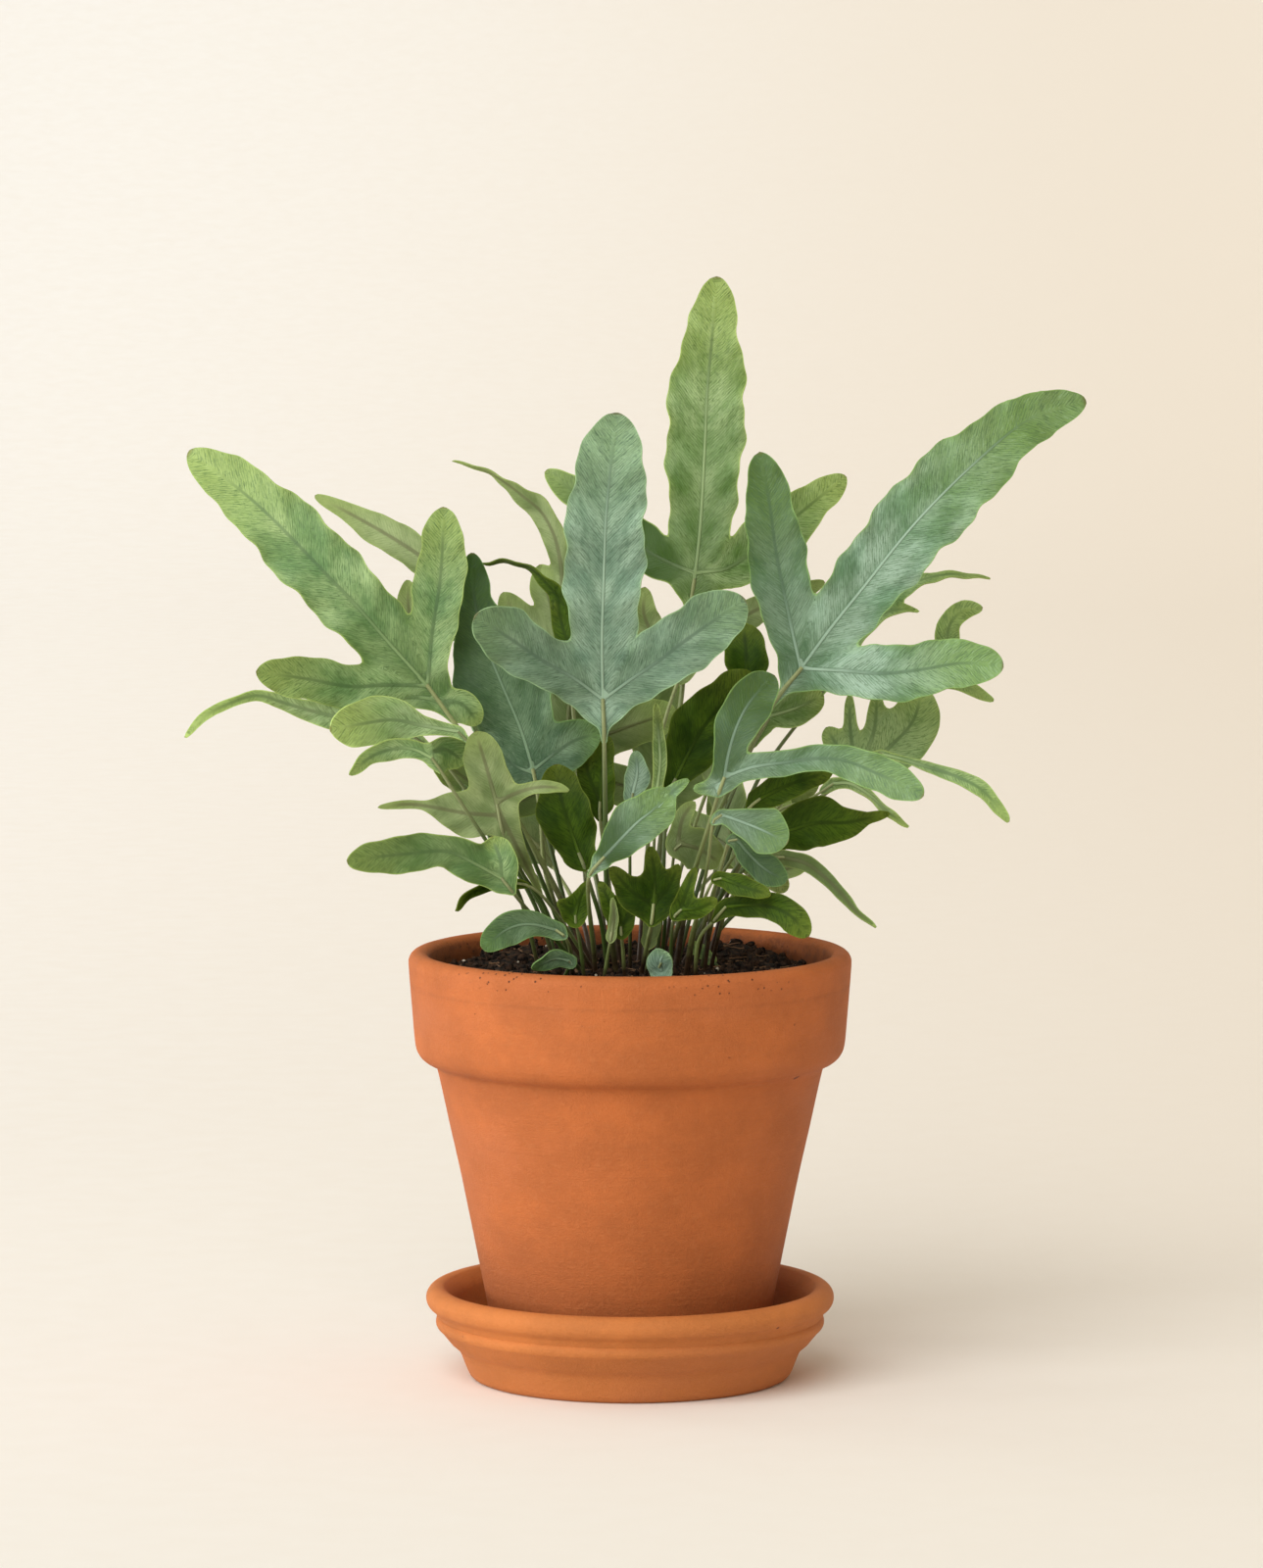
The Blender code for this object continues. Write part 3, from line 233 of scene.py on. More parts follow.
# A lobe is the line of its midrib from the rachis to its tip, its half widths from root to tip, how far its
# midrib bows back from the blade's own depth, how many degrees it turns away from the viewer, and how far its
# root and its tip go over into the deep green of a blade in the shade.
# A frond's root is where it leaves the soil, its stipe the points that it passes on its way to the blade.
FRONDS = [
    Frond("frond_front_tall", "blue", (-5, -13), [(-7.2, 161), (-8.2, 175), (-8.6, 195)], 1.25, -46,
          [(-9, 224), (-9.5, 239)], [
        Lobe([(-9.5, 239), (-9.8, 260), (-9.2, 280), (-8.5, 300), (-7, 317), (-4.6, 338.8)],
             (9, 10.8, 13.7, 13.8, 12.2), (0, -9, -15, -16)),
        Lobe([(-9.8, 239), (-20, 246.5), (-30, 252), (-41, 259.5), (-54, 268)], (7, 8.5, 9.4, 10.2),
             (0, -9, -20), (0, 0), (0.3, 0.4)),
        Lobe([(-9, 239), (1, 246.2), (10, 252.2), (21, 260.6), (40, 273.8)], (7, 9.3, 11, 10.7), (0, -8, -12),
             (0, 0), (0.3, 0.35))]),
    Frond("frond_back_tall", "lime", (5, 16), [(9, 175), (14, 215), (18, 240)], 1.3, 34,
          [(19.5, 262), (22.5, 281)], [
        Lobe([(22.5, 281), (24.5, 300), (25.9, 325), (26.8, 345), (28.6, 366), (30.2, 386)],
             (8, 10.4, 12.6, 13.5, 12.7, 8.6), (0, 9, 20, 36), (0, 0), (0.5, 0, 0)),
        Lobe([(22.3, 283), (13, 286.8), (3.5, 292.4), (-12.2, 305.8), (-29.4, 318.6)], (4.5, 7.6, 8.4, 5.8),
             (0, 12, 30), (0, 0), (0.9, 1, 0.4)),
        Lobe([(22.7, 283), (34.5, 284.8), (47.5, 294.3), (61, 305.3), (75, 316.8)], (4.5, 7.4, 9, 9, 6),
             (0, 8, 22))]),
    Frond("frond_right_tall", "sea", (16, -5), [(20, 168), (27, 190), (35, 208)], 1.35, -17,
          [(50, 237), (60, 250)], [
        Lobe([(60, 250), (70, 263.7), (80.6, 277), (99.6, 300.7), (120.4, 321.7), (139, 336.7), (158.4, 343)],
             (8, 11.5, 13.4, 13.8, 9.6), (0, -1, 6, 26), (0, 4, -6), (0.4, 0, 0)),
        Lobe([(59.5, 250), (55.6, 267), (50.9, 290), (48.4, 308), (45, 325)], (4.6, 9, 10.2, 9.9, 7.6),
             (0, 4, 6), (0, 0), (0.5, 0.65)),
        Lobe([(60, 249.6), (74, 248.8), (88, 247.8), (102, 249.3), (116, 251.5), (130.3, 250.5)],
             (6, 8.2, 9.8, 9.5, 8.2), (0, -10, -27))]),
    Frond("frond_left_tall", "green", (-13, -8), [(-20, 160), (-29, 178), (-39, 196), (-50, 215)], 1.3, -22,
          [(-62, 231.5), (-71, 244)], [
        Lobe([(-71, 244), (-84.6, 259.2), (-94.6, 270.8), (-104.7, 281.4), (-124.8, 302.2), (-138, 313.8),
              (-153.5, 325.2)], (8, 10.9, 12.5, 12.4, 9.6), (0, 0, 8, 30), (0, -4, 6), (0.6, 0, 0)),
        Lobe([(-70.5, 244), (-69, 262), (-66.6, 277), (-65.4, 290), (-64.8, 305.8)], (5, 7, 8.5, 9, 7.6),
             (0, 4, 10)),
        Lobe([(-71.5, 243.6), (-85, 243.8), (-98, 243.3), (-113, 246), (-130.3, 248.4)], (6, 7.5, 7.8, 7.5),
             (0, -8, -22)),
        Lobe([(-65, 238), (-58.5, 237), (-52.6, 230)], (2.5, 5, 5), (0, 1, 3)),
        Lobe([(-64, 236.5), (-71, 239.2), (-79.5, 239.4)], (1.8, 2, 2.1), (0, 1, 2))]),
    Frond("frond_left_olive", "olive", (-18, 9), [(-26, 180), (-38, 225)], 1.0, 14,
          [(-50, 258), (-61, 276)], [
        Lobe([(-61, 276), (-70, 286.5), (-83, 295.4), (-97, 303.4), (-109.8, 310)], (4, 5.2, 5.9, 5.5, 3),
             (0, 8, 32)),
        Lobe([(-55, 266), (-66, 262), (-76, 267), (-77.6, 280.6)], (2.5, 3.4, 4, 3.8), (0, 2, 6))]),
    Frond("frond_back_curled", "olive", (-12, 15), [(-16, 180), (-19, 225)], 1.0, 22,
          [(-21, 246), (-22.5, 262)], [
        Lobe([(-22.5, 262), (-24.3, 288), (-29.3, 302.2), (-37.9, 310.4), (-49.1, 318.1), (-63, 322.5)],
             (3, 2.2, 4.3, 4.3, 1.1), (0, 10, 26), (-20, 30, 60)),
        Lobe([(-21.7, 252), (-30, 260), (-38.4, 267), (-44.6, 276)], (3.5, 5.2, 5.8), (0, 4, 8)),
        Lobe([(-22.3, 258), (-27, 270), (-31.5, 285.8)], (3, 4.4, 5.6), (0, 8, 20))]),
    Frond("frond_back_edge_on", "dark", (-4, 12), [(-8, 180), (-12, 225)], 0.9, 10,
          [(-14, 245), (-16, 258)], [
        Lobe([(-16, 258), (-23, 272), (-33, 283.5), (-41, 286.8), (-51.8, 286.3)], (3, 3.4, 3.2, 2.2),
             (0, 3, 8), (0, 60, 72)),
        Lobe([(-15, 252), (-22, 260), (-26.3, 274.5)], (2.5, 4, 3.6), (0, 2, 4))]),
    Frond("frond_left_broad", "teal", (-15, -1), [(-23, 158), (-29.5, 178), (-31, 195)], 1.2, -9,
          [(-32.5, 207), (-34, 214.5)], [
        Lobe([(-34, 214.5), (-38, 228), (-44.7, 244), (-51, 260), (-54.2, 274), (-55, 290)],
             (7, 12.7, 15.8, 11.8, 6.2), (0, 4, 13), (0, 0), (0, 0.6, 1)),
        Lobe([(-33.7, 214), (-26, 220), (-19, 224.5), (-10.5, 227)], (5, 8, 9, 7), (0, 1, 2)),
        Lobe([(-34, 213), (-41, 216), (-48, 223)], (4, 5.5, 5.5), (0, 1, 2))]),
    Frond("frond_left_strap", "pale", (-26, 2), [(-34, 168), (-50, 196)], 0.95, -6,
          [(-66, 218), (-76, 226)], [
        Lobe([(-76, 226), (-95, 231), (-108, 234), (-120, 237.4), (-130, 240.2), (-140, 237.3),
              (-149.3, 232.2), (-155.6, 224.9)], (2.5, 4.8, 5.3, 4, 2.5, 1.7, 1.7),
             (0, -8, -32), (0, 20, -10))]),
    Frond("frond_left_mid", "pale", (-20, -3), [(-28, 168), (-38, 192)], 1.0, -28,
          [(-50, 216), (-60, 227.5)], [
        Lobe([(-60, 227.5), (-72, 229.5), (-83, 231.6), (-94, 230.1), (-104.6, 228.2)], (1.8, 3.4, 7.8, 8.4),
             (0, -9, -28))]),
    Frond("frond_left_droop", "green", (-31, -25), [(-38, 168), (-45, 181), (-52.5, 192.5), (-61.3, 206)],
          0.95, -52, [(-66, 213.5), (-69.3, 218.3)], [
        Lobe([(-69.3, 218.3), (-76, 221.4), (-83, 221.4), (-91, 218.4), (-98, 212.1)], (1.5, 3.4, 3.8, 2.6),
             (0, -1, -4), (0, 30)),
        Lobe([(-69, 220.5), (-64, 221), (-57.6, 216.3)], (3, 4.6, 5.4), (0, 15, 18.5))]),
    Frond("frond_left_pale", "olive", (-21, -11), [(-30, 166), (-36, 175), (-40.5, 183)], 0.95, -40,
          [(-44.5, 192), (-46.5, 202)], [
        Lobe([(-46.5, 202), (-49, 211), (-51.3, 219), (-54, 227.5)], (6, 7.4, 6.8), (0, 0, 1)),
        Lobe([(-46, 198), (-58, 199), (-68, 200.8), (-77, 202), (-88.4, 200.9)], (6, 8.2, 6.4, 2, 1.5),
             (0, 2, 4)),
        Lobe([(-46, 200), (-41, 190), (-35, 178), (-30.5, 169)], (4.5, 4.2, 2.6, 1.4), (0, 1.4, 9, 15)),
        Lobe([(-46, 203), (-38, 206.5), (-30, 208), (-21, 206.8)], (3.5, 2.4, 2.6), (0, -3, -6), (0, 40))]),
    Frond("frond_left_low", "green", (-17, -16), [(-26.5, 155), (-34.6, 163.4)], 1.0, -47,
          [(-41, 171), (-45, 176)], [
        Lobe([(-45, 176), (-54, 181), (-64, 185.4), (-77, 184.6), (-88, 183.5), (-99, 181.6)],
             (4.5, 7.2, 5.6, 6.9, 5.7), (0, -7, -24), (0, 0), (0.6, 0.3)),
        Lobe([(-45, 176.5), (-45.5, 183), (-48.5, 190.3)], (4.5, 6.3, 5.6), (0, 1, 4))]),
    Frond("frond_left_underlobe", "dark", (-13, -13), [(-22, 158), (-30, 169)], 0.85, -38,
          [(-36, 173.5), (-42, 174.3)], [
        Lobe([(-42, 174.3), (-50, 173), (-56, 170.3), (-61.2, 164.3)], (1.8, 2.2, 2),
             (0, -1, -3), (30, 50))]),
    Frond("frond_left_rim", "teal", (-20, -22), [(-21, 151)], 0.9, -52,
          [(-23, 155.5), (-26, 157.8)], [
        Lobe([(-26, 157.8), (-35, 159.8), (-43, 158), (-51.8, 151)], (3, 4.3, 6, 5), (0, -4, -9), (0, 0),
             (0.5, 0.4))]),
    Frond("frond_front_rim", "teal", (-23, -30), [(-21.5, 144)], 0.8, -48,
          [(-20.5, 145.5), (-21.5, 147)], [
        Lobe([(-21.5, 147), (-27, 147.5), (-34.5, 144)], (2.4, 3.6, 3), (0, -2, -4), (35, 45))]),
    Frond("frond_front_bud", "blue", (11, -32), [(9.6, 143)], 0.8, -42,
          [(10.2, 144.6), (11, 146.2)], [
        Lobe([(11, 143.6), (10.6, 146.8), (12.7, 150.2)], (4.6, 5.4, 4.3), (0, -3, -5), (35, 20))]),
    Frond("frond_front_pale", "sea", (-12, -20), [(-13, 153), (-14.5, 168)], 1.0, -56,
          [(-14.2, 177), (-9, 183.5)], [
        Lobe([(-9, 183.5), (-2.5, 190.5), (3, 196), (8, 200), (14, 206.5)], (3.3, 7, 8.4, 7.4),
             (0, -4, -9), (0, 0), (1.0, 0.55, 0)),
        Lobe([(10, 201), (15, 206.5), (20.6, 210.8)], (4, 2.4, 2), (-6, -8, -6))]),
    Frond("frond_right_mid", "sea", (12, -15), [(17, 160), (23, 180), (28, 196)], 1.15, -48,
          [(31, 206), (33, 211.5)], [
        Lobe([(33, 211.5), (34.7, 221), (38, 231), (43, 239.5), (50.5, 247)], (4, 5.8, 7.8, 8), (0, 0, 3),
             (0, 0), (0.9, 0.8)),
        Lobe([(33, 211.5), (43, 215), (54, 216.6), (66, 218.1), (76, 217), (86, 212.9), (95, 208.9),
              (102.5, 204.8)], (3.2, 4.6, 4.5, 4.8, 6.4, 6.2), (0, -6, -22), (0, 0), (0.5, 0.3)),
        Lobe([(32.6, 209.5), (27.5, 207.8), (21.8, 207.4)], (2.2, 2.6, 2.2), (0, -1, -2))]),
    Frond("frond_right_fore", "sea", (20, -20), [(23, 160), (27, 180)], 0.9, -52,
          [(29, 195.5), (32, 198.3)], [
        Lobe([(32, 198.3), (38, 196.2), (46, 193), (55, 188.5)], (1.8, 5.4, 8.3), (0, -3, -9), (0, 0),
             (0.65, 0.5))]),
    Frond("frond_right_blue", "teal", (22, -13), [(27, 164), (32, 180)], 0.9, -40,
          [(34.5, 189), (37.5, 189.6)], [
        Lobe([(37.5, 189.6), (41.5, 184.6), (47.5, 179), (55, 175)], (2, 4.8, 5.3), (0, -2, -8), (0, 0),
             (0.8, 0.6))]),
    Frond("frond_right_dark", "dark", (19, -26), [(22, 158), (27, 171)], 0.85, -46,
          [(29.5, 175.5), (32, 176)], [
        Lobe([(32, 176), (40, 172.8), (49.3, 170)], (2.2, 4, 3.2), (0, -3, -8), (0, 20))]),
    Frond("frond_right_low", "dark", (22.5, -29), [(24, 154)], 0.9, -42,
          [(29.3, 161), (33.5, 166)], [
        Lobe([(34, 166), (41, 166.5), (49.4, 165.9), (56.6, 162.4), (62.3, 155.3)], (3, 4.4, 4.9, 5.2),
             (0, -5, -16))]),
    Frond("frond_right_deep", "dark", (25, -5), [(31, 168), (40, 184)], 0.95, -22,
          [(47, 190), (53, 192)], [
        Lobe([(53, 192), (65, 195.4), (75, 195.5), (84, 197.3), (91, 198.8)], (6, 8.8, 8.6, 5.6, 2.2),
             (0, 1, 3))]),
    Frond("frond_right_twisted", "lime", (23, 2), [(31, 175), (48, 197), (62, 203.5)], 0.8, -13,
          [(67, 206.5), (71, 209.3)], [
        Lobe([(71, 209.3), (77.5, 209), (85, 204.1), (90, 199.1), (97.7, 193.7)], (1.8, 2.1, 1.5, 1.8),
             (0, -2, -6), (0, 50))]),
    Frond("frond_right_hang", "olive", (28, -10), [(34, 166), (43, 179)], 0.9, -33,
          [(49, 183), (54, 183.3)], [
        Lobe([(54, 183.2), (61.9, 181), (68.7, 175.7), (74.3, 170.1), (79, 164.4), (86.7, 158.2)],
             (2.6, 3, 2.4, 2, 1.2), (0, -6, -20), (0, 25), (0.5, 0.5))]),
    Frond("frond_right_strap", "green", (27, 8), [(38, 180), (58, 208)], 0.9, -4,
          [(76, 219), (88, 219.6)], [
        Lobe([(88, 219.6), (96, 217.6), (104, 215), (112, 212.5), (121, 208.3), (127, 202.8), (132.5, 195.5)],
             (1.2, 1.2, 1.9, 2.4, 3, 2.3), (0, -7, -28), (0, 20))]),
    Frond("frond_right_back", "green", (19, 10), [(32, 170), (55, 195)], 1.1, 14,
          [(74, 210), (81, 216)], [
        Lobe([(82, 215), (91.6, 223), (98.9, 231.5), (102, 243)], (5, 10.2, 10.6, 8), (0, 3, 12)),
        Lobe([(80.5, 215), (85.2, 228), (86.2, 242.5)], (2.4, 2.3, 3), (0, 2, 8)),
        Lobe([(79, 214), (77, 227), (76.6, 241)], (2.4, 2.6, 2.2), (0, 2, 8)),
        Lobe([(79, 214.5), (73.4, 221), (68.4, 229)], (3, 4.4, 4.2), (0, 1, 4))]),
    Frond("frond_right_far", "green", (25, 20), [(33, 180), (43.5, 208), (51.7, 221.4)], 1.0, 32,
          [(66, 240), (72, 250)], [
        Lobe([(72, 251), (82, 267), (95, 277.4), (109, 282.2), (126, 281)], (3, 4, 4.2, 1.8), (0, 6, 22),
             (0, 40, 60)),
        Lobe([(72, 250), (79, 261), (88, 268.2), (94.5, 269.8), (101.5, 269)], (3, 2.6, 2.4, 1.6), (0, 4, 8),
             (0, 50)),
        Lobe([(73, 250), (95, 247), (108.6, 252.6), (111.3, 264.5), (116, 269.6), (123, 270.3)],
             (3, 3, 2.2, 2.6, 4.4, 3.6), (0, 0, -4)),
        Lobe([(73, 249), (95, 244.5), (112, 245), (127.3, 238)], (2.5, 2.5, 3, 2.6), (0, 6, 10))]),
    Frond("frond_right_backlit", "lime", (17, 13), [(26, 180), (36, 206)], 0.95, 23,
          [(43, 222.5), (48.6, 232)], [
        Lobe([(49, 233), (58, 235.8), (67.5, 240.3)], (3.6, 6.8, 5.6), (0, 2, 6))]),
    Frond("frond_mid_dark", "dark", (9, 0), [(11, 165), (12, 188)], 1.1, -3,
          [(13, 204), (16, 211)], [
        Lobe([(16, 211), (21, 221), (27, 231), (35, 240), (43, 248)], (4.5, 9.5, 10.6, 8), (0, 2, 4))]),
    Frond("frond_mid_round", "dark", (11, 8), [(18, 180), (31, 218)], 0.9, 11,
          [(38, 236), (40.5, 244)], [
        Lobe([(40.5, 244), (40.5, 254), (39.5, 265.3)], (4, 7.6, 7.2), (0, 2, 6))]),
    Frond("frond_mid_sliver", "lime", (6, -10), [(7.5, 165), (8.5, 190)], 0.8, -29,
          [(9, 203), (9.6, 208)], [
        Lobe([(9.6, 208), (10.5, 219), (9, 238)], (1.6, 2.6, 1.9), (0, 1, 4))]),
    Frond("frond_mid_blue", "blue", (0, -7), [(0, 165), (0, 190)], 0.8, -24,
          [(0.5, 201), (1, 206)], [
        Lobe([(1, 206), (2.5, 213), (2, 220.8)], (3, 4.6, 3.2), (0, 1, 3))]),
    Frond("frond_mid_olive", "olive", (3, 10), [(6, 185), (10, 222)], 1.0, 22,
          [(17, 246), (21, 254)], [
        Lobe([(20, 252), (30, 260), (42, 269), (55, 274.5), (68, 280)], (4, 4.6, 5, 3.6), (0, 3, 8)),
        Lobe([(18, 248), (10, 258), (5, 268), (5, 278)], (3.5, 4.4, 5), (0, 2, 4))]),
    Frond("frond_low_dark", "dark", (4, -20), [(6, 153)], 1.0, -43,
          [(7.5, 160), (8.2, 167)], [
        Lobe([(8.2, 167), (8.6, 177), (7, 187.3)], (6, 5.5, 3), (0, -2, -2)),
        Lobe([(8, 167), (0.6, 171.4), (-7, 180)], (5, 6.6, 3.4), (0, -2, -4)),
        Lobe([(8.4, 167), (13.5, 173), (17, 181)], (4.5, 5.2, 2.6), (0, -1, -2))]),
    Frond("frond_low_olive", "olive", (11, -9), [(12.5, 163), (14.5, 177)], 0.9, -25,
          [(15.7, 186), (18, 188)], [
        Lobe([(18, 188), (24.5, 186), (32, 181)], (5.2, 7.6, 6), (0, 2, 4)),
        Lobe([(16.8, 189), (18.4, 197), (22.6, 203)], (2.4, 3, 2.8), (0, 0, 1))]),
    Frond("frond_low_hook", "dark", (14, -22), [(14.6, 156)], 0.85, -47,
          [(15.5, 162.3), (18, 165)], [
        Lobe([(18, 165), (24, 165.4), (30.6, 168.5)], (2.6, 3.4, 2.8), (0, -2, -5)),
        Lobe([(17.5, 165), (20, 172), (23, 180)], (2.4, 2.8, 2), (0, 0, 2))]),
    Frond("frond_low_broad", "dark", (-8, -2), [(-10, 160), (-13.5, 172)], 1.1, -17,
          [(-16, 180), (-18, 185)], [
        Lobe([(-18, 185), (-21, 194), (-24, 204), (-26, 216)], (6, 9, 9.6, 7), (0, 1, 4))]),
    Frond("frond_low_left", "dark", (-16, -26), [(-17.5, 153)], 0.85, -37,
          [(-19, 160.5), (-19.2, 163)], [
        Lobe([(-19.2, 163), (-17.5, 169), (-14.6, 175)], (3.4, 4, 2.2), (0, 0, 1)),
        Lobe([(-19.4, 163), (-22, 165.5), (-25.5, 168)], (2.4, 3, 2), (0, -1, -2))]),
    Frond("frond_low_mid", "dark", (-2, -24), [(-2.5, 151)], 0.85, -34,
          [(-3, 156), (-3.2, 159)], [
        Lobe([(-3.2, 159), (-6.5, 166), (-10.6, 175)], (3, 4, 2.6), (0, 0, 1)),
        Lobe([(-3, 159), (-0.6, 162.5), (1, 166)], (2.4, 2.8, 2), (0, 0, 1))]),
    Frond("frond_low_sliver", "olive", (-9, -30), [(-7.6, 150)], 0.8, -37,
          [(-6.8, 154), (-6.4, 157)], [
        Lobe([(-6.4, 157), (-5.6, 163), (-6.2, 169.5)], (1.3, 1.7, 1.3), (0, 0, 1))]),
    Frond("frond_low_under", "olive", (5.5, -16), [(6, 149)], 0.8, -19,
          [(6.3, 152), (6.8, 154.5)], [
        Lobe([(6.8, 154.5), (7.8, 161), (8.6, 169)], (2.4, 3.2, 2.6), (0, 0, 0))]),
    Frond("frond_low_young", "green", (30.4, 4.6), [(29.6, 145.8)], 0.8, 5.2,
          [(28.8, 146.8), (27.8, 147.9)], [
        Lobe([(27.8, 147.9), (24.4, 150.4), (20.8, 152.8)], (1.6, 2.4, 2.5))]),
    Frond("frond_right_under", "dark", (26, -14), [(30, 174), (36, 191)], 0.9, -37,
          [(41, 200), (45.5, 204)], [
        Lobe([(45.5, 204), (56, 209), (71, 214)], (4, 5.6, 4), (0, 1, 3))]),
    Frond("frond_low_back", "dark", (-3, 4), [(-6, 165), (-9, 185)], 0.95, -4,
          [(-10.5, 197), (-10.5, 203)], [
        Lobe([(-10.5, 203), (-9.8, 213), (-7.6, 226)], (4, 4.6, 3.6), (0, 1, 4)),
        Lobe([(-10.5, 203), (-14, 211), (-16, 219)], (4, 4.5, 3.6), (0, 1, 2))]),
]

# Fronds at the back, which follow one plan: a rachis, an end lobe and two side lobes of these lengths and
# half widths times the frond's size, and a stipe whose points are at these shares of its way. A row gives the
# side that the frond faces, where its blade starts across and up, how far out it stands, its size, how many
# degrees it leans over, its root in the soil and its colour.
BACK_RACHIS = 13
BACK_LENGTH = 84
BACK_WIDTHS = (8, 11, 13, 12.5, 10)
BACK_SIDE_LENGTH = 46
BACK_SIDE_WIDTHS = (6, 8, 9, 8.4)
BACK_BOW = -3
BACK_STIPE_STEPS = (0.3, 0.65)
BACK_FRONDS = [
    (180, 24, 203, 56, 0.92, -4, (-8, 23), "green"),
    (178, -10, 185, 72, 0.80, 3, (4, 25), "lime"),
    (148, -2, 172, 70, 0.62, 16, (21, 19), "green"),
    (214, 6, 184, 76, 0.74, -14, (-20, 17), "green"),
    (160, 2, 168, 96, 0.55, -48, (11, 24), "olive"),
    (200, -4, 170, 92, 0.55, 44, (-14, 23), "blue"),
    (250, 4, 186, 50, 0.50, -10, (-26, 11), "blue"),
    (124, -8, 168, 50, 0.38, -6, (27, 14), "green"),
]


def slanted(start, length, angle, curl):
    """Points of a midrib that sets off at an angle from upright, in degrees, and curls by more of them."""
    points = [start]
    step = length / SLANT_STEPS
    for k in range(SLANT_STEPS):
        heading = math.radians(angle + curl * (k + 0.5) / SLANT_STEPS)
        x, y = points[-1]
        points.append((x + step * math.sin(heading), y + step * math.cos(heading)))
    return points


def back_frond(number, azimuth, across, up, reach, size, lean, root, hue):
    """A frond of one long lobe between two short ones, on a stipe that rises from its root to its blade."""
    draw = random.Random(number)
    fork = (across + BACK_RACHIS * size * math.sin(math.radians(lean)), up + BACK_RACHIS * size)
    tip = Lobe(slanted(fork, BACK_LENGTH * size, lean, draw.uniform(-14, 14)),
               [width * size for width in BACK_WIDTHS], (0, BACK_BOW, draw.uniform(-14, 2)))
    sides = []
    for side in (-1, 1):
        angle, curl = lean + side * draw.uniform(52, 66), side * draw.uniform(2, 24)
        line = slanted(fork, BACK_SIDE_LENGTH * size, angle, curl)
        sides.append(Lobe(line, [width * size for width in BACK_SIDE_WIDTHS],
                          (0, BACK_BOW, draw.uniform(-10, 0))))
    c, s = math.cos(math.radians(azimuth)), math.sin(math.radians(azimuth))
    near = (root[0] * c + root[1] * s, -root[0] * s + root[1] * c)
    ground = soil_height(math.hypot(*root))
    stipe = [(near[0] + (across - near[0]) * t ** 1.3, ground + (up - ground) * t ** 0.7,
              near[1] - (reach + near[1]) * t ** 1.4) for t in BACK_STIPE_STEPS]
    return Frond("frond_behind_%d" % number, hue, root, stipe, 0.8 + 0.4 * size, -reach,
                 [(across, up), fork], [tip] + sides, azimuth)


def all_fronds():
    """The fronds that are described one by one and those that follow the plan."""
    return FRONDS + [back_frond(k + 1, *row) for k, row in enumerate(BACK_FRONDS)]


def unit(rows):
    """Directions made one long."""
    return rows / np.linalg.norm(rows, axis=1)[:, None]


def travelled(line):
    """How far along a line each of its points is."""
    return np.concatenate([[0], np.cumsum(np.linalg.norm(np.diff(line, axis=0), axis=1))])


def sampled(line, along, places):
    """A line whose points are so far along it, read at other places."""
    return np.stack([np.interp(places, along, column) for column in line.T], 1)


def neighbours(rings, count):
    """The numbers of each point of some rings and of the one next to it on its ring."""
    return [(ring * count + k, ring * count + (k + 1) % count) for ring in range(rings) for k in range(count)]


def smooth_line(points, count):
    """A smooth line through the points, as rows spaced evenly by what its first two columns measure."""
    knots = np.array(points, float)
    ends = [2 * knots[0] - knots[1], 2 * knots[-1] - knots[-2]]
    p = np.vstack([ends[0], knots, ends[1]])
    t = np.linspace(0, 1, CURVE_STEPS, endpoint=False)[:, None]
    pieces = []
    for a, b, c, d in zip(p, p[1:], p[2:], p[3:]):
        pieces.append(b + 0.5 * t * (c - a + t * (2 * a - 5 * b + 4 * c - d + t * (3 * (b - c) + d - a))))
    line = np.vstack(pieces + [knots[-1:]])
    along = travelled(line[:, :2])
    return sampled(line, along, np.linspace(0, along[-1], count))


def spread(values, t):
    """Values given at even steps from 0 to 1, read smoothly at t."""
    steps = np.linspace(0, 1, len(values))
    curve = smooth_line(list(zip(steps, values)), SPREAD_STEPS)
    return np.interp(t, curve[:, 0], curve[:, 1])


def seen(across, up, depth):
    """The place in space of a point that shows at across and up on the plane through the pot's axis."""
    reach = 1 + depth / EYE_DISTANCE
    return np.stack([across * reach, depth, EYE_HEIGHT + (up - EYE_HEIGHT) * reach], -1)


def turned(across, up, depth, azimuth):
    """The place in space of a point of a frond that faces away from the pot's axis at an azimuth."""
    c, s = math.cos(math.radians(azimuth)), math.sin(math.radians(azimuth))
    return np.stack([across * c - depth * s, across * s + depth * c, up], -1)


def placed(frond, across, up, depth):
    """The place in space of a frond's point, in the way that the frond is described."""
    if frond.azimuth is None:
        return seen(across, up, depth)
    return turned(across, up, depth, frond.azimuth)


def lobe_guide(lobe, phase):
    """The lobe's midrib as an even line, with its tangents, length and the phase of its waves."""
    line = smooth_line(lobe.line, GUIDE_STEPS)
    length = np.linalg.norm(np.diff(line, axis=0), axis=1).sum()
    return Guide(line, unit(np.gradient(line, axis=0)), length, phase)


def beside(points, guide):
    """Where points lie by a midrib: how far along it from 0 to 1, the offset across, and past its ends."""
    start, step = guide.line[:-1], np.diff(guide.line, axis=0)
    rel = points[:, None, :] - start[None]
    share = np.clip((rel * step).sum(2) / (step * step).sum(1), 0, 1)
    gap = rel - share[..., None] * step
    distance = np.linalg.norm(gap, axis=2)
    nearest = distance.argmin(1)
    rows = np.arange(len(points))
    along = (nearest + share[rows, nearest]) / len(step)
    tangent = unit(sampled(guide.tangents, np.linspace(0, 1, len(guide.line)), along))
    offset = gap[rows, nearest]
    across = tangent[:, 0] * offset[:, 1] - tangent[:, 1] * offset[:, 0]
    past = (tangent * offset).sum(1)
    return Place(along, across, past, distance[rows, nearest], tangent)


